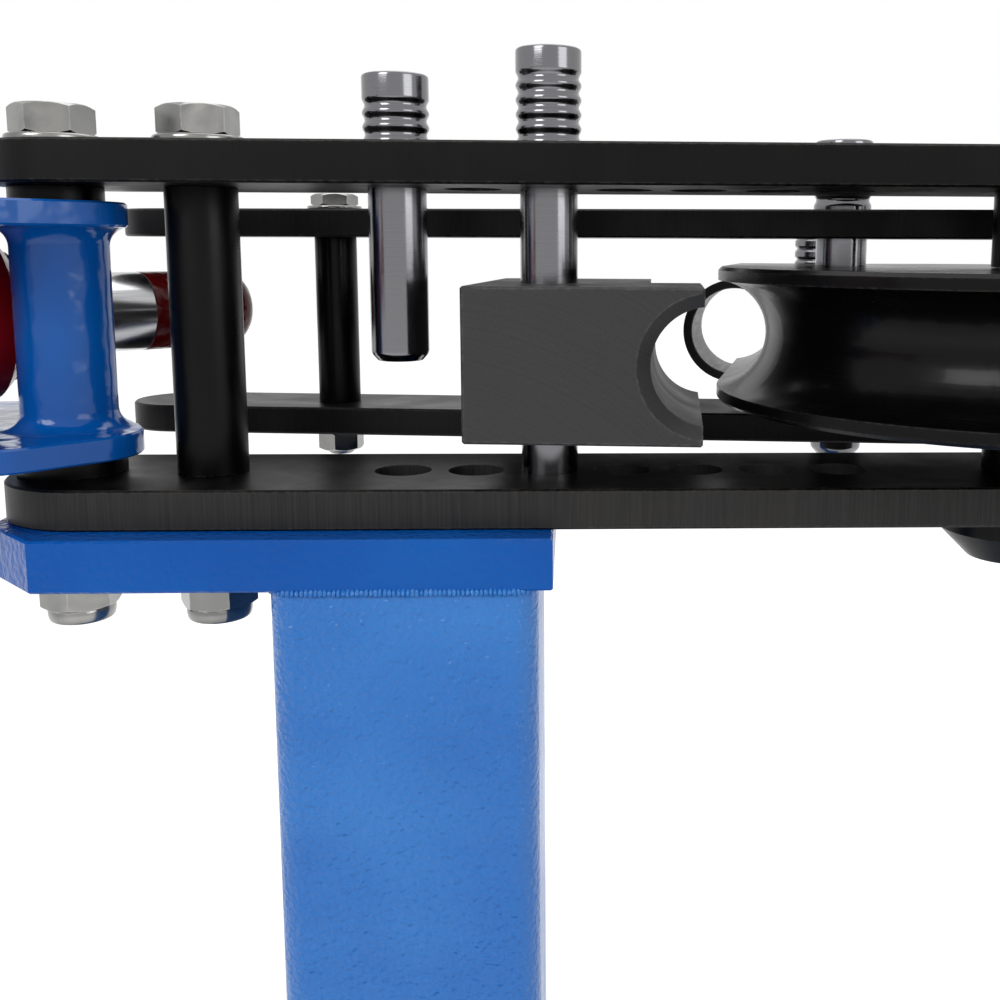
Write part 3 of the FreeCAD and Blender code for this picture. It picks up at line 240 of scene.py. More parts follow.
def make_streak_group():
    """Fine lines drawn out along one direction, as a cutter, a grinder or rolling leaves them."""
    group, entry, leave = new_group(
        "drawn_streaks",
        [("Vector", "NodeSocketVector", None), ("Lines", "NodeSocketVector", (2000.0, 2000.0, 20.0)),
         ("Contrast", "NodeSocketFloat", 1.0)],
        [("Value", "NodeSocketFloat"), ("Height", "NodeSocketFloat")])
    stretch = group.nodes.new("ShaderNodeVectorMath")
    stretch.operation = "MULTIPLY"
    group.links.new(entry.outputs["Vector"], stretch.inputs[0])
    group.links.new(entry.outputs["Lines"], stretch.inputs[1])
    fine = noise_on(group, stretch.outputs[0], Scale=1.0, Detail=3.0, Roughness=0.65)
    value = remap(group, fine.outputs["Fac"], 0.3, 0.7)
    value = work_out(group, "SUBTRACT", value, 0.5)
    value = work_out(group, "MULTIPLY", value, entry.outputs["Contrast"])
    value = work_out(group, "ADD", value, 0.5, clamp=True)
    group.links.new(value, leave.inputs["Value"])
    group.links.new(fine.outputs["Fac"], leave.inputs["Height"])
    return group


def make_orange_peel_group():
    """The soft dimples of thick gloss paint."""
    group, entry, leave = new_group(
        "orange_peel",
        [("Vector", "NodeSocketVector", None), ("Scale", "NodeSocketFloat", 260.0)],
        [("Height", "NodeSocketFloat"), ("Value", "NodeSocketFloat")])
    dimple = noise_on(group, entry.outputs["Vector"], Detail=1.5, Roughness=0.45)
    group.links.new(entry.outputs["Scale"], dimple.inputs["Scale"])
    cloud = noise_on(group, entry.outputs["Vector"], Scale=14.0, Detail=2.0)
    group.links.new(dimple.outputs["Fac"], leave.inputs["Height"])
    group.links.new(cloud.outputs["Fac"], leave.inputs["Value"])
    return group


def make_handling_group():
    """Smears from hands that change the gloss over a surface."""
    group, entry, leave = new_group(
        "handling_marks",
        [("Vector", "NodeSocketVector", None), ("Scale", "NodeSocketFloat", 30.0)],
        [("Smear", "NodeSocketFloat")])
    smear = noise_on(group, entry.outputs["Vector"], Detail=5.0, Roughness=0.6, Distortion=0.8)
    group.links.new(entry.outputs["Scale"], smear.inputs["Scale"])
    group.links.new(smear.outputs["Fac"], leave.inputs["Smear"])
    return group


def make_turning_group():
    """Rings about an upright axis, as a lathe leaves them, by the distance to that axis and the height."""
    group, entry, leave = new_group(
        "turning_rings",
        [("Vector", "NodeSocketVector", None), ("Pitch", "NodeSocketFloat", 1800.0)],
        [("Value", "NodeSocketFloat")])
    parts = group.nodes.new("ShaderNodeSeparateXYZ")
    group.links.new(entry.outputs["Vector"], parts.inputs[0])
    radius = distance_over(group, parts.outputs[0], parts.outputs[1])
    path = work_out(group, "ADD", radius, parts.outputs[2])
    path = work_out(group, "MULTIPLY", path, entry.outputs["Pitch"])
    ring = add_node(group, "ShaderNodeTexNoise", noise_dimensions="1D", Scale=1.0, Detail=2.0)
    group.links.new(path, ring.inputs["W"])
    group.links.new(ring.outputs["Fac"], leave.inputs["Value"])
    return group


edge_wear = make_edge_wear_group()
drawn_streaks = make_streak_group()
orange_peel = make_orange_peel_group()
handling_marks = make_handling_group()
turning_rings = make_turning_group()


# Finishes

def start_finish(name, offset=None, turn=0.0):
    """A material with its shader and the object's own coordinates, centred where asked."""
    finish = bpy.data.materials.new(name)
    finish.use_nodes = True
    tree = finish.node_tree
    shader = tree.nodes["Principled BSDF"]
    place = tree.nodes.new("ShaderNodeTexCoord").outputs["Object"]
    if offset is not None:
        shift = tree.nodes.new("ShaderNodeMapping")
        shift.vector_type = "TEXTURE"
        shift.inputs["Location"].default_value = offset
        shift.inputs["Rotation"].default_value = (0, 0, turn)
        tree.links.new(place, shift.inputs["Vector"])
        place = shift.outputs[0]
    return finish, tree, shader, place


def use_group(tree, group, place, **values):
    """Places a shared effect in a material, with the material's own values."""
    item = tree.nodes.new("ShaderNodeGroup")
    item.node_tree = group
    tree.links.new(place, item.inputs["Vector"])
    for key, value in values.items():
        item.inputs[key].default_value = value
    return item


def colour_by(tree, shader, colour):
    tree.links.new(colour, shader.inputs["Base Color"])


def roughen_by(tree, shader, value, low, high, smooth, rough):
    """Roughness from smooth to rough as the value goes from low to high."""
    tree.links.new(remap(tree, value, low, high, smooth, rough), shader.inputs["Roughness"])


def shade_of(tone, share):
    """A neutral grey of the tone times the share, a touch warmer as it gets lighter."""
    level = tone * share
    return (level, level * 0.985, level * 0.97, 1)


def add_bump(tree, shader, height, strength, distance):
    bump = tree.nodes.new("ShaderNodeBump")
    bump.inputs["Strength"].default_value = strength
    bump.inputs["Distance"].default_value = distance
    tree.links.new(height, bump.inputs["Height"])
    tree.links.new(bump.outputs[0], shader.inputs["Normal"])


def make_gloss_paint(name, colour, deep, chip, peel, peel_scale, rough, specular):
    """Thick gloss paint with orange peel, cloudy depth and a few bare chips on its edges."""
    finish, tree, shader, place = start_finish(name)
    dimples = use_group(tree, orange_peel, place, Scale=peel_scale)
    marks = use_group(tree, handling_marks, place, Scale=22.0)
    worn = use_group(tree, edge_wear, place, Width=0.0011, Amount=0.4)
    shade = blend_colours(tree, remap(tree, dimples.outputs["Value"], 0.35, 0.7), deep, colour)
    paint = blend_colours(tree, worn.outputs["Mask"], shade, chip)
    colour_by(tree, shader, paint)
    roughen_by(tree, shader, marks.outputs["Smear"], 0.3, 0.75, rough - 0.05, rough + 0.1)
    shader.inputs["Specular IOR Level"].default_value = specular
    shader.inputs["Coat Weight"].default_value = 0.1
    shader.inputs["Coat Roughness"].default_value = 0.05
    add_bump(tree, shader, dimples.outputs["Height"], 0.9, peel)
    return finish


def make_black_bar(name, lines, tone, edge_tone, offset=None, turn=0.0, rough=0.36):
    """Black oxide on bar: faint drawn lines on the faces, upright cutter lines on the edges."""
    finish, tree, shader, place = start_finish(name, offset, turn)
    face = use_group(tree, drawn_streaks, place, Lines=lines, Contrast=0.8)
    side = use_group(tree, drawn_streaks, place, Lines=(1500.0, 1500.0, 24.0), Contrast=0.8)
    marks = use_group(tree, handling_marks, place, Scale=26.0)
    worn = use_group(tree, edge_wear, place, Width=0.0012, Amount=0.5)
    surface = tree.nodes.new("ShaderNodeNewGeometry")
    parts = tree.nodes.new("ShaderNodeSeparateXYZ")
    tree.links.new(surface.outputs["Normal"], parts.inputs[0])
    flat = remap(tree, work_out(tree, "ABSOLUTE", parts.outputs[2]), 0.4, 0.6)
    face_colour = blend_colours(tree, face.outputs["Value"], shade_of(tone, 0.7), shade_of(tone, 1.35))
    side_colour = blend_colours(tree, side.outputs["Value"], shade_of(edge_tone, 0.65),
                                shade_of(edge_tone, 1.4))
    oxide = blend_colours(tree, flat, side_colour, face_colour)
    browned = blend_colours(tree, remap(tree, marks.outputs["Smear"], 0.5, 0.8, 0.0, 0.5), oxide,
                            (edge_tone * 1.5, edge_tone * 1.3, edge_tone * 1.15, 1))
    bare = blend_colours(tree, worn.outputs["Mask"], browned, (0.12, 0.105, 0.09, 1))
    colour_by(tree, shader, bare)
    shader.inputs["Specular IOR Level"].default_value = 0.13
    roughen_by(tree, shader, marks.outputs["Smear"], 0.3, 0.7, rough - 0.06, rough + 0.12)
    height = work_out(tree, "ADD", work_out(tree, "MULTIPLY", side.outputs["Height"], 0.7),
                      work_out(tree, "MULTIPLY", face.outputs["Height"], 0.3))
    add_bump(tree, shader, height, 0.1, 0.0003)
    return finish


STEEL_COLOUR = (0.21, 0.21, 0.222)


def make_polished_steel(name, axis_at):
    """Turned and polished steel: rings round the piece's upright axis and faint smears."""
    finish, tree, shader, place = start_finish(name, axis_at)
    rings = use_group(tree, turning_rings, place, Pitch=5200.0)
    marks = use_group(tree, handling_marks, place, Scale=60.0)
    dark = tuple(part * 0.72 for part in STEEL_COLOUR) + (1,)
    bright = STEEL_COLOUR + (1,)
    tone = blend_colours(tree, remap(tree, rings.outputs["Value"], 0.3, 0.7), dark, bright)
    colour_by(tree, shader, tone)
    shader.inputs["Metallic"].default_value = 1.0
    roughen_by(tree, shader, marks.outputs["Smear"], 0.3, 0.75, 0.1, 0.2)
    add_bump(tree, shader, rings.outputs["Value"], 0.05, 0.0002)
    return finish


def make_zinc(name):
    """Bright zinc plate: silver, clouded a little, with brighter rubbed edges."""
    finish, tree, shader, place = start_finish(name)
    bloom = noise_on(tree, place, Scale=55.0, Detail=3.0, Distortion=0.6)
    grain = noise_on(tree, place, Scale=1600.0, Detail=2.0)
    worn = use_group(tree, edge_wear, place, Width=0.0008, Amount=0.5)
    clouded = blend_colours(tree, remap(tree, bloom.outputs["Fac"], 0.35, 0.65),
                            (0.20, 0.20, 0.198, 1), (0.29, 0.286, 0.272, 1))
    bright = blend_colours(tree, worn.outputs["Mask"], clouded, (0.7, 0.7, 0.68, 1))
    colour_by(tree, shader, bright)
    shader.inputs["Metallic"].default_value = 1.0
    roughen_by(tree, shader, bloom.outputs["Fac"], 0.3, 0.7, 0.14, 0.27)
    add_bump(tree, shader, grain.outputs["Fac"], 0.03, 0.0002)
    return finish


def make_die_gloss(name):
    """Glossy black on turned steel; the lathe's rings show through the film."""
    finish, tree, shader, place = start_finish(name, tuple(centre_pin_at))
    rings = use_group(tree, turning_rings, place, Pitch=2400.0)
    marks = use_group(tree, handling_marks, place, Scale=16.0)
    worn = use_group(tree, edge_wear, place, Width=0.0015, Amount=0.45)
    tone = blend_colours(tree, remap(tree, rings.outputs["Value"], 0.35, 0.7),
                         (0.0008, 0.0008, 0.0009, 1), (0.0025, 0.0023, 0.0021, 1))
    bare = blend_colours(tree, worn.outputs["Mask"], tone, (0.06, 0.055, 0.05, 1))
    colour_by(tree, shader, bare)
    shader.inputs["Specular IOR Level"].default_value = 0.1
    shader.inputs["Coat Weight"].default_value = 0.06
    shader.inputs["Coat Roughness"].default_value = 0.08
    roughen_by(tree, shader, marks.outputs["Smear"], 0.3, 0.7, 0.2, 0.34)
    add_bump(tree, shader, rings.outputs["Value"], 0.04, 0.0003)
    return finish


def make_milled_block(name):
    """Dark milled steel: the sweeps of a large face cutter cross the block's faces in arcs."""
    finish, tree, shader, place = start_finish(name, tuple(follow_pin_at), BLOCK_TURN)
    parts = tree.nodes.new("ShaderNodeSeparateXYZ")
    tree.links.new(place, parts.inputs[0])
    cutter_x, cutter_z, arcs_per_metre = -0.05, -0.16, 900.0
    right = work_out(tree, "SUBTRACT", parts.outputs[0], cutter_x)
    rise = work_out(tree, "SUBTRACT", parts.outputs[2], cutter_z)
    sweep = work_out(tree, "MULTIPLY", distance_over(tree, right, rise), arcs_per_metre)
    arcs = add_node(tree, "ShaderNodeTexNoise", noise_dimensions="1D", Scale=1.0, Detail=3.0)
    tree.links.new(sweep, arcs.inputs["W"])
    grain = noise_on(tree, place, Scale=1400.0, Detail=3.0)
    marks = use_group(tree, handling_marks, place, Scale=30.0)
    worn = use_group(tree, edge_wear, place, Width=0.0014, Amount=0.7)
    tone = blend_colours(tree, remap(tree, arcs.outputs["Fac"], 0.25, 0.75),
                         (0.023, 0.023, 0.0245, 1), (0.029, 0.0285, 0.0295, 1))
    tone = blend_colours(tree, remap(tree, grain.outputs["Fac"], 0.4, 0.75, 0.0, 0.25), tone,
                         (0.05, 0.049, 0.048, 1))
    bare = blend_colours(tree, worn.outputs["Mask"], tone, (0.16, 0.145, 0.125, 1))
    colour_by(tree, shader, bare)
    shader.inputs["Specular IOR Level"].default_value = 0.25
    roughen_by(tree, shader, marks.outputs["Smear"], 0.3, 0.7, 0.36, 0.52)
    height = work_out(tree, "ADD", work_out(tree, "MULTIPLY", arcs.outputs["Fac"], 0.15),
                      work_out(tree, "MULTIPLY", grain.outputs["Fac"], 0.4))
    add_bump(tree, shader, height, 0.08, 0.0002)
    return finish


def make_strap_finish(name):
    """The hook is black outside, and the tube has rubbed its bore bare."""
    pin_to_bore = 0.043
    bore_at = strap_pin_at - die_across * pin_to_bore
    finish, tree, shader, place = start_finish(
        name, (bore_at.x, bore_at.y, middle("tube_strap").z), DIE_TURN)
    parts = tree.nodes.new("ShaderNodeSeparateXYZ")
    tree.links.new(place, parts.inputs[0])
    radius = distance_over(tree, parts.outputs[0], parts.outputs[2])
    inside = remap(tree, radius, 0.0231, 0.0228)
    lines = use_group(tree, drawn_streaks, place, Lines=(700.0, 60.0, 700.0), Contrast=1.0)
    worn = use_group(tree, edge_wear, place, Width=0.001, Amount=0.8)
    black = blend_colours(tree, lines.outputs["Value"], (0.006, 0.006, 0.006, 1), (0.014, 0.0135, 0.013, 1))
    rubbed = blend_colours(tree, lines.outputs["Value"], (0.07, 0.07, 0.07, 1), (0.16, 0.155, 0.15, 1))
    tone = blend_colours(tree, inside, black, rubbed)
    bare = blend_colours(tree, worn.outputs["Mask"], tone, (0.18, 0.17, 0.16, 1))
    colour_by(tree, shader, bare)
    shader.inputs["Specular IOR Level"].default_value = 0.3
    roughen_by(tree, shader, lines.outputs["Value"], 0.0, 1.0, 0.3, 0.5)
    add_bump(tree, shader, lines.outputs["Height"], 0.1, 0.0003)
    return finish


def make_chrome(name):
    """Hard chrome with a few hair scratches along the stroke."""
    finish, tree, shader, place = start_finish(name, tuple(ram_pin_at), RAM_TURN)
    lines = use_group(tree, drawn_streaks, place, Lines=(30.0, 2600.0, 2600.0), Contrast=1.0)
    marks = use_group(tree, handling_marks, place, Scale=40.0)
    tone = blend_colours(tree, lines.outputs["Value"], (0.40, 0.405, 0.42, 1), (0.55, 0.55, 0.56, 1))
    colour_by(tree, shader, tone)
    shader.inputs["Metallic"].default_value = 1.0
    roughen_by(tree, shader, marks.outputs["Smear"], 0.3, 0.75, 0.16, 0.24)
    add_bump(tree, shader, lines.outputs["Height"], 0.02, 0.0001)
    return finish


def make_rubber(name):
    """Black rubber with a fine grain, greyed where it is held."""
    finish, tree, shader, place = start_finish(name)
    grain = noise_on(tree, place, Scale=1100.0, Detail=3.0)
    marks = use_group(tree, handling_marks, place, Scale=35.0)
    tone = blend_colours(tree, remap(tree, marks.outputs["Smear"], 0.35, 0.7),
                         (0.013, 0.013, 0.013, 1), (0.030, 0.030, 0.029, 1))
    colour_by(tree, shader, tone)
    roughen_by(tree, shader, grain.outputs["Fac"], 0.3, 0.7, 0.6, 0.85)
    add_bump(tree, shader, grain.outputs["Fac"], 0.25, 0.0004)
    return finish


# One blue paint in three tones: the column's blue is made lighter as painted light, and the head plate's and
# the yoke's are made darker as painted shade under the arms.
column_blue_painted_light = make_gloss_paint("column_blue_painted_light", (0.018, 0.165, 0.50, 1), (0.004, 0.12, 0.43, 1),
                               (0.02, 0.06, 0.2, 1), 0.0015, 420.0, 0.26, 0.42)
plate_blue_painted_shade = make_gloss_paint("plate_blue_painted_shade", (0.0015, 0.086, 0.37, 1), (0.001, 0.068, 0.32, 1),
                              (0.02, 0.06, 0.2, 1), 0.0008, 300.0, 0.2, 0.12)
yoke_blue_painted_shade = make_gloss_paint("yoke_blue_painted_shade", (0.002, 0.092, 0.37, 1), (0.001, 0.07, 0.31, 1),
                             (0.05, 0.12, 0.3, 1), 0.0011, 80.0, 0.1, 0.27)
ram_red = make_gloss_paint("ram_red", (0.28, 0.004, 0.006, 1), (0.20, 0.002, 0.004, 1),
                           (0.05, 0.008, 0.008, 1), 0.0004, 260.0, 0.16, 0.3)
rod_end_red = make_gloss_paint("rod_end_red", (0.19, 0.004, 0.004, 1), (0.09, 0.002, 0.002, 1),
                               (0.05, 0.02, 0.02, 1), 0.0005, 260.0, 0.2, 0.22)
lines_along_bar = (14.0, 1300.0, 900.0)
lines_up_tube = (1500.0, 1500.0, 12.0)
upper_arm_black = make_black_bar("upper_arm_black", lines_along_bar, 0.0012, 0.0018)
# The lower arm is the same black bar as the upper arm; its edges are made much lighter as painted light.
lower_arm_black_painted_light = make_black_bar("lower_arm_black_painted_light", lines_along_bar, 0.0012, 0.021)
link_black = make_black_bar("link_black", lines_along_bar, 0.005, 0.011, tuple(ram_pin_at), LINK_TURN)
tube_black = make_black_bar("tube_black", lines_up_tube, 0.0015, 0.0012, rough=0.27)
die_gloss = make_die_gloss("die_gloss")
milled_block = make_milled_block("milled_block")
strap_finish = make_strap_finish("strap_finish")
zinc_plate = make_zinc("zinc_plate")
hard_chrome = make_chrome("hard_chrome")
black_rubber = make_rubber("black_rubber")

finish_of = {
    "base_plate": column_blue_painted_light, "base_gussets": column_blue_painted_light, "column": column_blue_painted_light,
    "head_plate": plate_blue_painted_shade, "yoke_lower_plate": yoke_blue_painted_shade, "yoke_upper_plate": yoke_blue_painted_shade,
    "yoke_barrel": yoke_blue_painted_shade, "yoke_collar": yoke_blue_painted_shade,
    "ram_cylinder": ram_red, "ram_gland": ram_red, "rod_end": rod_end_red,
    "pump_block": ram_red, "pump_post": ram_red, "handle_cheeks": ram_red,
    "handle_socket": ram_red,
    "lower_arm": lower_arm_black_painted_light, "upper_arm": upper_arm_black,
    "lower_link": link_black, "upper_link": link_black,
    "frame_spacer_tube": tube_black, "link_spacer_tube": tube_black, "yoke_spacers": tube_black,
    "centre_boss": tube_black, "die_bushes": tube_black,
    "follow_block": milled_block, "tube_strap": strap_finish, "bending_die": die_gloss,
    "die_straight": die_gloss, "strap_tongue": tube_black,
    "frame_bolts": zinc_plate, "frame_washers": zinc_plate, "frame_lock_nuts": zinc_plate,
    "link_bolt": zinc_plate, "link_nut": zinc_plate, "link_washers": zinc_plate,
    "filler_plug": zinc_plate,
    "ram_rod": hard_chrome, "pump_handle": hard_chrome,
    "ram_seal": black_rubber, "handle_grip": black_rubber,
}
for turned in ("centre_pin", "near_drive_pin", "far_drive_pin", "strap_pin", "follow_pin", "spare_pin",
               "ram_pin", "ram_piston", "pump_cylinder", "pump_plunger", "fulcrum_pin", "release_valve"):
    finish_of[turned] = make_polished_steel(turned + "_steel", tuple(middle(turned)))

for node, finish in finish_of.items():
    mesh = frame["nodes"][node].data
    mesh.materials.clear()
    mesh.materials.append(finish)


# Shapes

TURNED_SHARP = 40.0
FORGED_SHARP = 24.0
COPIED_SHARP = 32.0
SAME_POINT = 0.000001

body_of = {}
for body, members in frame["record"]["behaviour"]["bodies"].items():
    for node in members:
        body_of[node] = body


def shaded_piece(name, work, sharp):
    """Turns the worked mesh into a piece that shades round up to the sharp angle, in degrees."""
    mesh = bpy.data.meshes.new(name)
    work.to_mesh(mesh)
    work.free()
    if "custom_normal" in mesh.attributes:
        mesh.attributes.remove(mesh.attributes["custom_normal"])
    mesh.shade_smooth()
    mesh.set_sharp_from_angle(angle=math.radians(sharp))
    return add_object(name, mesh)


def stand_for(piece, node):
    """The piece takes the node's place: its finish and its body."""
    piece.data.materials.clear()
    piece.data.materials.append(finish_of[node])
    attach(piece, body_of[node])
    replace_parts(piece, node)


def finished(name, work, node, sharp):
    """Turns a newly worked mesh's faces outward, and puts it in the node's place."""
    bmesh.ops.recalc_face_normals(work, faces=work.faces)
    stand_for(shaded_piece(name, work, sharp), node)


def settle(piece):
    """Makes what the modifiers give the piece's own mesh, and removes the modifiers."""
    view = bpy.context.evaluated_depsgraph_get()
    made = bpy.data.meshes.new_from_object(piece.evaluated_get(view))
    piece.modifiers.clear()
    piece.data = made


def smooth_copy(node):
    """The node's own shape with its triangles merged, so that round faces shade round."""
    work = bmesh.new()
    work.from_mesh(frame["nodes"][node].data)
    bmesh.ops.remove_doubles(work, verts=work.verts, dist=SAME_POINT)
    piece = shaded_piece(node + "_dressed", work, COPIED_SHARP)
    even = piece.modifiers.new("even_shading", "WEIGHTED_NORMAL")
    even.keep_sharp = True
    settle(piece)
    stand_for(piece, node)


EASE_STEPS = 5


def eased(corners):
    """A profile of (radius, height, ease) corners, each rounded off over the length of its ease."""
    line = []
    for index, (radius, height, ease) in enumerate(corners):
        here = Vector((radius, height))
        if ease == 0 or index in (0, len(corners) - 1):
            line.append((radius, height))
            continue
        before = Vector(corners[index - 1][:2]) - here
        after = Vector(corners[index + 1][:2]) - here
        start = here + before.normalized() * min(ease, before.length * 0.49)
        end = here + after.normalized() * min(ease, after.length * 0.49)
        for step in range(EASE_STEPS + 1):
            share = step / EASE_STEPS
            point = start * (1 - share) ** 2 + here * 2 * share * (1 - share) + end * share ** 2
            line.append((point.x, point.y))
    return line


RING_STEPS = 96


def add_turned(work, profile, at, axis=(0, 0, 1), steps=RING_STEPS, hollow=False):
    """Sweeps (radius, height) points round an axis, in mm; radius 0 is a pole, hollow closes the loop."""
    up = Vector(axis).normalized()
    across = up.orthogonal().normalized()
    beyond = up.cross(across)
    rings = []
    for radius, height in profile:
        middle_point = Vector(at) + up * (height * MM)
        if radius < 1e-6:
            rings.append([work.verts.new(middle_point)])
            continue
        ring = []
        for step in range(steps):
            turn = math.tau * step / steps
            outward = across * math.cos(turn) + beyond * math.sin(turn)
            ring.append(work.verts.new(middle_point + outward * (radius * MM)))
        rings.append(ring)
    pairs = list(zip(rings, rings[1:]))
    if hollow:
        pairs.append((rings[-1], rings[0]))
    for low, high in pairs:
        for step in range(steps):
            follow = (step + 1) % steps
            if len(low) == 1:
                work.faces.new((low[0], high[follow], high[step]))
            elif len(high) == 1:
                work.faces.new((low[step], low[follow], high[0]))
            else:
                work.faces.new((low[step], low[follow], high[follow], high[step]))


def flat_of(corner):
    """Half the width over a hexagon's flats, from half the width over its corners."""
    return corner * math.cos(math.radians(30))


def add_hexagon(work, at, corner, low, high, turn, low_crown, high_crown, bore=0.0):
    """A hexagon block in mm whose crowned ends are cut back by a 30 degree cone from the given radius."""
    base = Vector(at)
    flat = flat_of(corner)
    slope = math.tan(math.radians(30))
    low_ring, low_edge, high_edge, high_ring = [], [], [], []
    low_bore, high_bore = [], []
    for step in range(RING_STEPS):
        angle = math.tau * step / RING_STEPS
        spread = flat / math.cos(angle % math.radians(60) - math.radians(30))
        outward = Vector((math.cos(angle + turn), math.sin(angle + turn), 0))
        low_drop = max(0.0, spread - low_crown) * slope
        high_drop = max(0.0, spread - high_crown) * slope
        for ring, radius, height in (
            (low_ring, min(low_crown, spread), low), (low_edge, spread, low + low_drop),
            (high_edge, spread, high - high_drop), (high_ring, min(high_crown, spread), high),
            (low_bore, bore, low), (high_bore, bore, high),
        ):
            if radius > 0:
                ring.append(work.verts.new(base + outward * (radius * MM) + Vector((0, 0, height * MM))))
    loops = [low_ring, low_edge, high_edge, high_ring]
    if bore:
        loops = [low_bore] + loops + [high_bore, low_bore]
    for lower, upper in zip(loops, loops[1:]):
        for step in range(RING_STEPS):
            follow = (step + 1) % RING_STEPS
            work.faces.new((lower[step], lower[follow], upper[follow], upper[step]))
    if not bore:
        for ring, height in ((low_ring, low), (high_ring, high)):
            centre = work.verts.new(base + Vector((0, 0, height * MM)))
            for step in range(RING_STEPS):
                work.faces.new((ring[step], ring[(step + 1) % RING_STEPS], centre))


# Turned pins with rounded grooves round their heads

PIN_RADIUS = 11.6
PIN_HEAD_RADIUS = 13.1
GROOVE_PITCH = 5.6
FIRST_GROOVE = 4.9
GROOVE_WIDTH = 5.6
GROOVE_DEPTH = 1.0
GROOVE_STEP = 0.42


def make_pin(node, head_height, grooves):
    """A pin with a chamfered foot, and a head whose grooves are hollowed by a cosine."""
    at = middle(node)
    foot = (bottom_of(node) - at.z) / MM
    crown = (top_of(node) - at.z) / MM
    seat = crown - head_height
    profile = eased([(0, foot, 0), (PIN_RADIUS - 2.6, foot, 0.5), (PIN_RADIUS, foot + 3.0, 1.2),
                     (PIN_RADIUS, seat, 0), (PIN_HEAD_RADIUS - 0.4, seat, 0)])
    top_of_grooves = seat + FIRST_GROOVE + GROOVE_PITCH * (grooves - 1) + GROOVE_WIDTH / 2
    height = seat + 0.4
    while height < top_of_grooves + 0.3:
        groove = round((height - seat - FIRST_GROOVE) / GROOVE_PITCH)
        groove = min(max(groove, 0), grooves - 1)
        away = abs(height - seat - FIRST_GROOVE - groove * GROOVE_PITCH) / (GROOVE_WIDTH / 2)
        dip = GROOVE_DEPTH * math.cos(min(away, 1.0) * math.pi / 2) ** 2
        profile.append((PIN_HEAD_RADIUS - dip, height))
        height += GROOVE_STEP
    profile += eased([(PIN_HEAD_RADIUS, height, 0), (PIN_HEAD_RADIUS, crown - 0.4, 1.3),
                      (PIN_HEAD_RADIUS * 0.5, crown, 3.0), (0, crown, 0)])
    work = bmesh.new()
    add_turned(work, profile, at, steps=80)
    finished(node + "_turned", work, node, TURNED_SHARP)


make_pin("follow_pin", 39.0, 5)
make_pin("spare_pin", 28.4, 3)
make_pin("near_drive_pin", 32.0, 4)
make_pin("far_drive_pin", 32.0, 4)


# Yoke barrel: its ends flare out to the plates in a hollow curve, cut off at the plates' fronts

FRAME_BORE = 10.1


def make_barrel():
    node = "yoke_barrel"
    at = Vector((yoke_pivot_at.x, yoke_pivot_at.y, bottom_of(node)))
    length = (top_of(node) - bottom_of(node)) / MM
    radius, flare = 18.2, 7.5
    low_front, high_front = 22.0, 20.2
    low_side, high_side = [], []
    for step in range(13):
        turn = math.radians(90 * step / 12)
        out = radius + flare * (1 - math.sin(turn))
        rise = flare * (1 - math.cos(turn))
        low_side.append((out, rise))
        high_side.append((out, length - rise))
    profile = [(FRAME_BORE, 0.0)] + low_side + high_side[::-1] + [(FRAME_BORE, length)]
    work = bmesh.new()
    add_turned(work, profile, at, hollow=True)
    for vertex in work.verts:
        front = low_front * MM if vertex.co.z < at.z + length * MM / 2 else high_front * MM
        ahead = (vertex.co - at).dot(ram_ahead)
        if ahead > front:
            vertex.co -= ram_ahead * (ahead - front)
    finished("yoke_barrel_flared", work, node, TURNED_SHARP)


make_barrel()


# Spacer tubes, washers, bolts and nuts: the sizes are in mm, and a turn is that of a hexagon's corner

FRAME_WASHER_THICK = 4.0
FRAME_HEAD_HEIGHT = 11.5
FRAME_HEX_CORNER = 15.8
FRAME_THREAD_RADIUS = 9.9
LOCK_NUT_BORE = 10.0
LOCK_NUT_HEIGHT = 20.0
LINK_BORE = 6.35
LINK_WASHER_THICK = 2.0
LINK_HEAD_HEIGHT = 5.6
LINK_HEX_CORNER = 11.0
LINK_THREAD_RADIUS = 6.3

spacer_bolt_at = middle("frame_spacer_tube")
link_bolt_at = middle("link_bolt")
arm_top = top_of("upper_arm")
plate_bottom = bottom_of("head_plate")


def foot_of(node):
    """The middle of the node's underside."""
    at = middle(node)
    return Vector((at.x, at.y, bottom_of(node)))


def height_of(node):
    return (top_of(node) - foot_of(node).z) / MM


def make_rings(name, node, rings, ease=0.5):
    """Rings or tubes with eased outer edges, each from (centre, inner, outer, low, high), in mm."""
    work = bmesh.new()
    for at, inner, outer, low, high in rings:
        section = eased([(inner, low, 0), (outer, low, ease), (outer, high, ease), (inner, high, 0)])
        add_turned(work, section, at, hollow=True)
    finished(name, work, node, TURNED_SHARP)


def make_spacer_tubes():
    make_rings("frame_spacer_tube_turned", "frame_spacer_tube",
               [(foot_of("frame_spacer_tube"), FRAME_BORE, 14.0, 0.0, height_of("frame_spacer_tube"))])
    low_at = Vector((yoke_pivot_at.x, yoke_pivot_at.y, bottom_of("yoke_spacers")))
    high_at = Vector((yoke_pivot_at.x, yoke_pivot_at.y, top_of("yoke_spacers")))
    gap_above_yoke = (top_of("yoke_spacers") - top_of("yoke_upper_plate")) / MM
    make_rings("yoke_spacers_turned", "yoke_spacers",
               [(low_at, FRAME_BORE, 20.7, 0.0, 8.7),
                (high_at, FRAME_BORE, 17.5, -gap_above_yoke + 0.3, 0.0)])
    tube_at = Vector((link_bolt_at.x, link_bolt_at.y, bottom_of("link_spacer_tube")))
    make_rings("link_spacer_tube_turned", "link_spacer_tube",
               [(tube_at, LINK_BORE, 9.8, 0.0, height_of("link_spacer_tube"))])


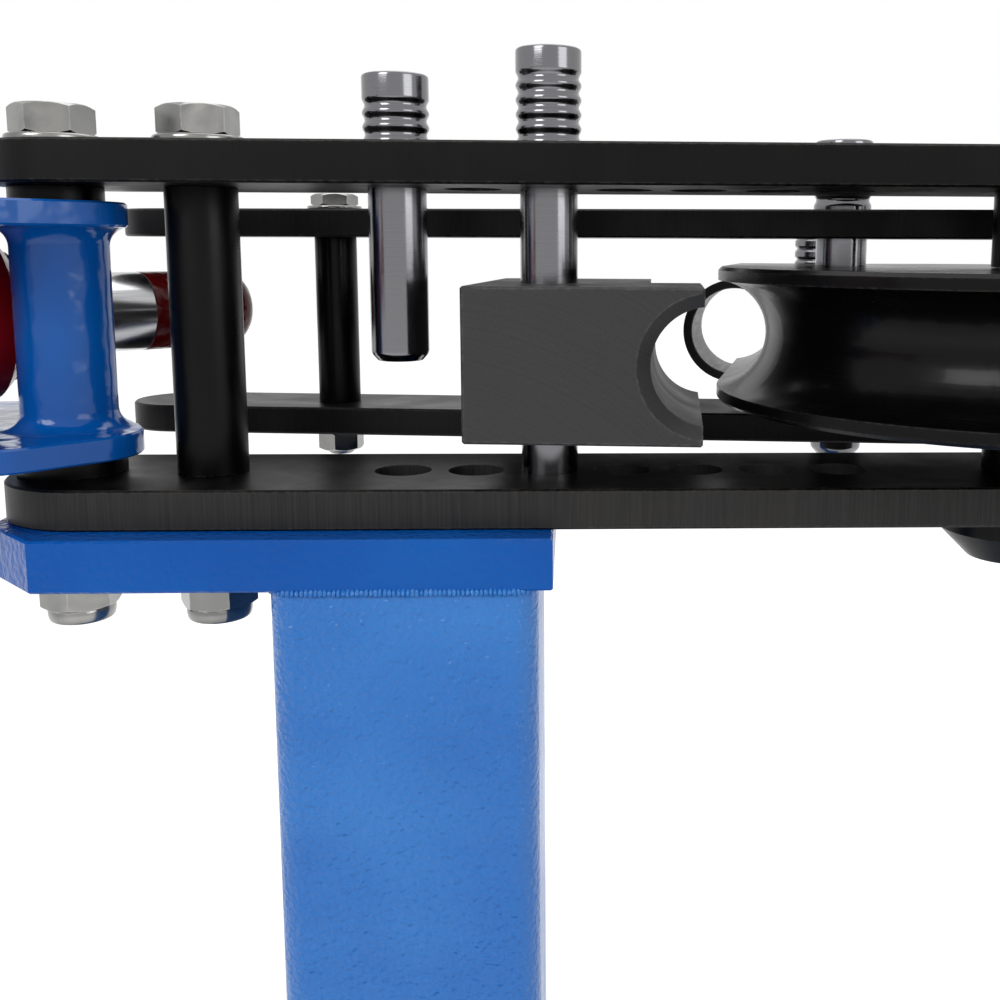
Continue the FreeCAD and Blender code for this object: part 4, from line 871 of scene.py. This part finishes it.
def make_washers():
    make_rings("frame_washers_pressed", "frame_washers",
               [(Vector((x, 0, arm_top)), FRAME_BORE, 17.6, 0.0, FRAME_WASHER_THICK)
                for x in (yoke_pivot_at.x, spacer_bolt_at.x)], 1.6)
    high_at = Vector((link_bolt_at.x, link_bolt_at.y, top_of("link_washers")))
    low_at = Vector((link_bolt_at.x, link_bolt_at.y, bottom_of("link_washers")))
    make_rings("link_washers_pressed", "link_washers",
               [(high_at, LINK_BORE, 12.7, -LINK_WASHER_THICK, 0.0),
                (low_at, LINK_BORE, 12.7, 0.0, LINK_WASHER_THICK)], 0.8)


def make_frame_bolts():
    """Long bolts whose hexagon heads are crowned, with the thread's rounded end below the lock nuts."""
    work = bmesh.new()
    low = (bottom_of("frame_bolts") - arm_top) / MM
    seat = FRAME_WASHER_THICK
    flat = flat_of(FRAME_HEX_CORNER)
    for x, turn in ((yoke_pivot_at.x, 17.0), (spacer_bolt_at.x, 25.0)):
        at = Vector((x, 0, arm_top))
        add_hexagon(work, at, FRAME_HEX_CORNER, seat, seat + FRAME_HEAD_HEIGHT, math.radians(turn),
                    flat * 1.02, flat * 0.97)
        shank = eased([(0, low, 0), (FRAME_THREAD_RADIUS - 1.1, low, 0.6),
                       (FRAME_THREAD_RADIUS, low + 1.4, 0.5), (FRAME_THREAD_RADIUS, seat, 0), (0, seat, 0)])
        add_turned(work, shank, at, steps=64)
    finished("frame_bolts_forged", work, "frame_bolts", FORGED_SHARP)


def make_lock_nuts():
    """Self-locking nuts: a crowned hexagon with a domed collar rolled over its insert."""
    work = bmesh.new()
    flat = flat_of(FRAME_HEX_CORNER)
    collar = eased([(LOCK_NUT_BORE, -19.4, 0), (flat * 0.93, -19.4, 0), (13.2, -21.6, 1.6),
                    (12.6, -25.4, 2.6), (10.6, -25.4, 0.4), (LOCK_NUT_BORE, -24.6, 0)])
    for x, turn in ((yoke_pivot_at.x, 34.0), (spacer_bolt_at.x, 1.0)):
        at = Vector((x, 0, plate_bottom))
        add_hexagon(work, at, FRAME_HEX_CORNER, -LOCK_NUT_HEIGHT, 0.0, math.radians(turn),
                    flat * 0.96, flat * 0.98, LOCK_NUT_BORE)
        add_turned(work, collar, at, steps=80, hollow=True)
    finished("frame_lock_nuts_domed", work, "frame_lock_nuts", FORGED_SHARP)


def make_link_bolt():
    """The bolt that ties the two links: a crowned head on a long shank with a rounded end."""
    work = bmesh.new()
    high = (top_of("link_bolt") - link_bolt_at.z) / MM
    low = (bottom_of("link_bolt") - link_bolt_at.z) / MM
    seat = high - LINK_HEAD_HEIGHT
    flat = flat_of(LINK_HEX_CORNER)
    add_hexagon(work, link_bolt_at, LINK_HEX_CORNER, seat, high, math.radians(12.0), flat, flat * 0.96)
    shank = eased([(0, low, 0), (LINK_THREAD_RADIUS - 0.9, low, 0.4), (LINK_THREAD_RADIUS, low + 1.0, 0.4),
                   (LINK_THREAD_RADIUS, seat, 0), (0, seat, 0)])
    add_turned(work, shank, link_bolt_at, steps=48)
    finished("link_bolt_forged", work, "link_bolt", FORGED_SHARP)


def make_link_nut():
    work = bmesh.new()
    at = middle("link_nut")
    half = (top_of("link_nut") - at.z) / MM
    flat = flat_of(LINK_HEX_CORNER)
    add_hexagon(work, at, LINK_HEX_CORNER, -half, half, math.radians(25.0),
                flat * 0.95, flat * 0.98, LINK_BORE)
    finished("link_nut_crowned", work, "link_nut", FORGED_SHARP)


make_spacer_tubes()
make_washers()
make_frame_bolts()
make_lock_nuts()
make_link_bolt()
make_link_nut()


# Piston rod: the paint of its eye meets the chrome a little behind the ram pin

ROD_RADIUS = 18.3
EYE_RADIUS = 18.4
PAINT_FROM = -28.2


def reach_along(node, axis, at):
    """How far the node reaches before and behind a point, along an axis, in mm."""
    reaches = [(vertex.co - at).dot(axis) / MM for vertex in frame["nodes"][node].data.vertices]
    return min(reaches), max(reaches)


def make_rod():
    """The ground rod, and the painted eye that takes the ram pin, whose front is rounded."""
    at = Vector((ram_pin_at.x, ram_pin_at.y, ram_level))
    low = reach_along("ram_rod", ram_ahead, ram_pin_at)[0]
    rod = eased([(0, low, 0), (ROD_RADIUS, low, 0.5), (ROD_RADIUS, PAINT_FROM, 0.3), (0, PAINT_FROM, 0)])
    work = bmesh.new()
    add_turned(work, rod, at, ram_ahead, 128)
    finished("ram_rod_ground", work, "ram_rod", TURNED_SHARP)
    front = reach_along("rod_end", ram_ahead, ram_pin_at)[1]
    eye = eased([(0, PAINT_FROM, 0), (EYE_RADIUS, PAINT_FROM, 0.4), (EYE_RADIUS, front - 5.5, 4.0),
                 (13.0, front, 3.0), (0, front, 0)])
    work = bmesh.new()
    add_turned(work, eye, at, ram_ahead, 128)
    finished("rod_end_rounded", work, "rod_end", TURNED_SHARP)


make_rod()


# Weld beads and grip ribs, repeated along a line by geometry nodes

def new_shaper(name, inputs):
    """A geometry node tree with named inputs; its geometry comes in first and goes out first."""
    shaper = bpy.data.node_groups.new(name, "GeometryNodeTree")
    shaper.interface.new_socket("Line", in_out="INPUT", socket_type="NodeSocketGeometry")
    for label, kind, value in inputs:
        socket = shaper.interface.new_socket(label, in_out="INPUT", socket_type=kind)
        if value is not None:
            socket.default_value = value
    shaper.interface.new_socket("Shape", in_out="OUTPUT", socket_type="NodeSocketGeometry")
    return shaper, shaper.nodes.new("NodeGroupInput"), shaper.nodes.new("NodeGroupOutput")


def spread_along(shaper, entry, leave, shape, size=None):
    """Sets the shape at even spacing along the line, then makes it real in the given finish."""
    link = shaper.links.new
    path = shaper.nodes.new("GeometryNodeMeshToCurve")
    link(entry.outputs["Line"], path.inputs["Mesh"])
    points = shaper.nodes.new("GeometryNodeCurveToPoints")
    points.mode = "LENGTH"
    link(path.outputs[0], points.inputs["Curve"])
    link(entry.outputs["Spacing"], points.inputs["Length"])
    placed = shaper.nodes.new("GeometryNodeInstanceOnPoints")
    link(points.outputs["Points"], placed.inputs["Points"])
    link(points.outputs["Rotation"], placed.inputs["Rotation"])
    link(shape, placed.inputs["Instance"])
    if size is not None:
        link(size, placed.inputs["Scale"])
    real = shaper.nodes.new("GeometryNodeRealizeInstances")
    link(placed.outputs[0], real.inputs[0])
    finish = shaper.nodes.new("GeometryNodeSetMaterial")
    link(real.outputs[0], finish.inputs["Geometry"])
    link(entry.outputs["Finish"], finish.inputs["Material"])
    link(finish.outputs[0], leave.inputs[0])


def make_weld_shaper():
    """Overlapping ripples of a weld, each a little different in size."""
    shaper, entry, leave = new_shaper("weld_ripples", [
        ("Spacing", "NodeSocketFloat", 0.0022), ("Bead Radius", "NodeSocketFloat", 0.0028),
        ("Finish", "NodeSocketMaterial", None)])
    drop = shaper.nodes.new("GeometryNodeMeshUVSphere")
    drop.inputs["Segments"].default_value = 10
    drop.inputs["Rings"].default_value = 5
    shaper.links.new(entry.outputs["Bead Radius"], drop.inputs["Radius"])
    soft = shaper.nodes.new("GeometryNodeSetShadeSmooth")
    shaper.links.new(drop.outputs["Mesh"], soft.inputs["Geometry"])
    uneven = shaper.nodes.new("FunctionNodeRandomValue")
    uneven.data_type = "FLOAT_VECTOR"
    uneven.inputs["Min"].default_value = (0.88, 0.88, 0.6)
    uneven.inputs["Max"].default_value = (1.1, 1.1, 0.75)
    uneven.inputs["Seed"].default_value = 7
    spread_along(shaper, entry, leave, soft.outputs[0], uneven.outputs["Value"])
    return shaper


def make_rib_shaper():
    """Round ribs about a handle."""
    shaper, entry, leave = new_shaper("grip_ribs", [
        ("Spacing", "NodeSocketFloat", 0.007), ("Rib Radius", "NodeSocketFloat", 0.016),
        ("Rib Height", "NodeSocketFloat", 0.0012), ("Finish", "NodeSocketMaterial", None)])
    hoop = shaper.nodes.new("GeometryNodeCurvePrimitiveCircle")
    hoop.inputs["Resolution"].default_value = 48
    shaper.links.new(entry.outputs["Rib Radius"], hoop.inputs["Radius"])
    section = shaper.nodes.new("GeometryNodeCurvePrimitiveCircle")
    section.inputs["Resolution"].default_value = 10
    shaper.links.new(entry.outputs["Rib Height"], section.inputs["Radius"])
    rib = shaper.nodes.new("GeometryNodeCurveToMesh")
    shaper.links.new(hoop.outputs["Curve"], rib.inputs["Curve"])
    shaper.links.new(section.outputs["Curve"], rib.inputs["Profile Curve"])
    soft = shaper.nodes.new("GeometryNodeSetShadeSmooth")
    shaper.links.new(rib.outputs[0], soft.inputs["Geometry"])
    spread_along(shaper, entry, leave, soft.outputs[0])
    return shaper


def shape_lines(name, shaper, node, lines, values):
    """Runs a shaper along the lines and keeps its result as a piece on the node's body."""
    points, edges = [], []
    for line in lines:
        start = len(points)
        points += [tuple(point) for point in line]
        edges += [(start + step, start + step + 1) for step in range(len(line) - 1)]
    mesh = bpy.data.meshes.new(name)
    mesh.from_pydata(points, edges, [])
    piece = add_object(name, mesh)
    worker = piece.modifiers.new("shape", "NODES")
    worker.node_group = shaper
    for socket in shaper.interface.items_tree:
        if socket.in_out == "INPUT" and socket.name in values:
            worker[socket.identifier] = values[socket.name]
    settle(piece)
    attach(piece, body_of[node])


def round_square(half, corner, level):
    """A closed square path with round corners, in mm, at a height in metres."""
    path = []
    for quarter, (sx, sy) in enumerate(((1, 1), (-1, 1), (-1, -1), (1, -1))):
        for step in range(7):
            turn = math.radians(90 * quarter + 15 * step)
            path.append((((half - corner) * sx + corner * math.cos(turn)) * MM,
                         ((half - corner) * sy + corner * math.sin(turn)) * MM, level))
    return path + [path[0]]


COLUMN_HALF = 50.8
COLUMN_CORNER = 11.0
GUSSET_HALF = 4.75
GUSSET_REACH = 128.0
GUSSET_RISE = 166.0

weld_ripples = make_weld_shaper()


def make_head_weld():
    """The bead round the column's head, under the head plate."""
    shape_lines("column_head_weld", weld_ripples, "column",
                [round_square(COLUMN_HALF + 0.2, COLUMN_CORNER, plate_bottom - 0.0004)],
                {"Spacing": 0.0017, "Bead Radius": 0.0017, "Finish": column_blue_painted_light})


def make_foot_welds():
    """The bead round the column's foot, and those along both sides of each gusset's two edges."""
    base_top = top_of("base_plate")
    bead_level = base_top + 0.0008
    lines = [round_square(COLUMN_HALF + 0.8, COLUMN_CORNER, bead_level)]
    for number in range(4):
        turn = Matrix.Rotation(math.radians(90 * number), 3, "Z")
        for side in (-GUSSET_HALF - 0.6, GUSSET_HALF + 0.6):
            lines.append([turn @ Vector(((COLUMN_HALF + 3) * MM, side * MM, bead_level)),
                          turn @ Vector(((COLUMN_HALF + GUSSET_REACH) * MM, side * MM, bead_level))])
            lines.append([turn @ Vector(((COLUMN_HALF + 0.6) * MM, side * MM, base_top + 0.004)),
                          turn @ Vector(((COLUMN_HALF + 0.6) * MM, side * MM, base_top + GUSSET_RISE * MM))])
    shape_lines("foot_welds", weld_ripples, "base_gussets", lines,
                {"Spacing": 0.0026, "Bead Radius": 0.003, "Finish": column_blue_painted_light})


def make_yoke_welds():
    """Beads where the collar stands between the yoke plates."""
    back, front = reach_along("yoke_collar", ram_ahead, yoke_pivot_at)
    low_side, high_side = reach_along("yoke_collar", ram_side, yoke_pivot_at)
    lines = []
    for level in (top_of("yoke_lower_plate") + 0.0006, bottom_of("yoke_upper_plate") - 0.0006):
        for along in (back - 0.4, front + 0.4):
            ends = []
            for side in (low_side + 2, high_side - 2):
                point = yoke_pivot_at + ram_ahead * (along * MM) + ram_side * (side * MM)
                ends.append(Vector((point.x, point.y, level)))
            lines.append(ends)
    shape_lines("yoke_welds", weld_ripples, "yoke_collar", lines,
                {"Spacing": 0.0024, "Bead Radius": 0.0028, "Finish": yoke_blue_painted_shade})


def make_grip_ribs():
    """Ribs along the handle's grip, clear of its ends."""
    axis_of = {joint["name"]: joint["axis"] for joint in frame["joints"]}
    along = Vector(axis_of["handle_pull"]).normalized()
    at = middle("handle_grip")
    low, high = reach_along("handle_grip", along, at)
    margin = 12.0
    shape_lines("handle_grip_ribs", make_rib_shaper(), "handle_grip",
                [[at + along * ((low + margin) * MM), at + along * ((high - margin) * MM)]],
                {"Spacing": 0.0065, "Rib Radius": 0.0157, "Rib Height": 0.0011, "Finish": black_rubber})


def copy_the_rest():
    """Every node that no new piece stands for yet gets its own smooth copy."""
    made_already = set()
    for piece in bpy.data.objects:
        made_already.update(piece.get("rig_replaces", []))
    for node in finish_of:
        if node not in made_already:
            smooth_copy(node)


make_head_weld()
make_foot_welds()
make_yoke_welds()
make_grip_ribs()
copy_the_rest()


# Floor, backdrop and light: the floor glows white only further out, so its shadow stays round the foot

FLOOR_REACH = 14.0
FLOOR_COLOUR = (0.86, 0.86, 0.86, 1)
GLOW_FROM = 0.6
GLOW_FULL_AT = 1.45
GLOW = 0.5
SKY_LIGHT = 0.62
SKY_SEEN = 1.0
LIT_PLACE = (0.0, 0.0, 0.9)


def backdrop_rays(tree):
    """1 for the rays that show the white backdrop: the camera's, reflections and rays through glass."""
    path = tree.nodes.new("ShaderNodeLightPath")
    seen = work_out(tree, "MAXIMUM", path.outputs["Is Camera Ray"], path.outputs["Is Glossy Ray"])
    return work_out(tree, "MAXIMUM", seen, path.outputs["Is Transmission Ray"])


def lay_floor():
    floor_mesh = bpy.data.meshes.new("studio_floor")
    reach = FLOOR_REACH
    floor_mesh.from_pydata([(-reach, -reach, 0), (reach, -reach, 0), (reach, reach, 0), (-reach, reach, 0)],
                           [], [(0, 1, 2, 3)])
    floor = add_object("studio_floor", floor_mesh)
    pale = bpy.data.materials.new("pale_floor")
    pale.use_nodes = True
    tree = pale.node_tree
    shader = tree.nodes["Principled BSDF"]
    shader.inputs["Base Color"].default_value = FLOOR_COLOUR
    shader.inputs["Roughness"].default_value = 0.8
    shader.inputs["Emission Color"].default_value = (1, 1, 1, 1)
    place = tree.nodes.new("ShaderNodeTexCoord").outputs["Object"]
    away = tree.nodes.new("ShaderNodeVectorMath")
    away.operation = "LENGTH"
    tree.links.new(place, away.inputs[0])
    glow = remap(tree, away.outputs["Value"], GLOW_FROM, GLOW_FULL_AT, 0.0, GLOW)
    seen_glow = work_out(tree, "MULTIPLY", backdrop_rays(tree), glow)
    tree.links.new(seen_glow, shader.inputs["Emission Strength"])
    floor_mesh.materials.append(pale)


def light_sky():
    world = bpy.data.worlds.new("studio_sky")
    bpy.context.scene.world = world
    world.use_nodes = True
    tree = world.node_tree
    back = tree.nodes["Background"]
    back.inputs["Color"].default_value = (1, 1, 1, 1)
    strength = remap(tree, backdrop_rays(tree), 0.0, 1.0, SKY_LIGHT, SKY_SEEN)
    tree.links.new(strength, back.inputs["Strength"])


def hang_soft_box(name, place, aim, side, power):
    """A square lamp of the given side and power, turned to what it lights."""
    lamp = bpy.data.lights.new(name, "AREA")
    lamp.shape = "RECTANGLE"
    lamp.size = side
    lamp.size_y = side
    lamp.energy = power
    box = add_object(name, lamp)
    box.location = place
    box.rotation_euler = (Vector(aim) - Vector(place)).to_track_quat("-Z", "Y").to_euler()


bpy.context.scene.view_settings.view_transform = "Standard"
lay_floor()
light_sky()
hang_soft_box("key_box", (-1.3, -1.9, 2.3), LIT_PLACE, 1.2, 34)
hang_soft_box("fill_box", (2.1, -1.6, 1.6), (0.05, 0.0, 0.9), 1.4, 16)
hang_soft_box("top_box", (0.1, 0.6, 2.8), LIT_PLACE, 2.0, 22)
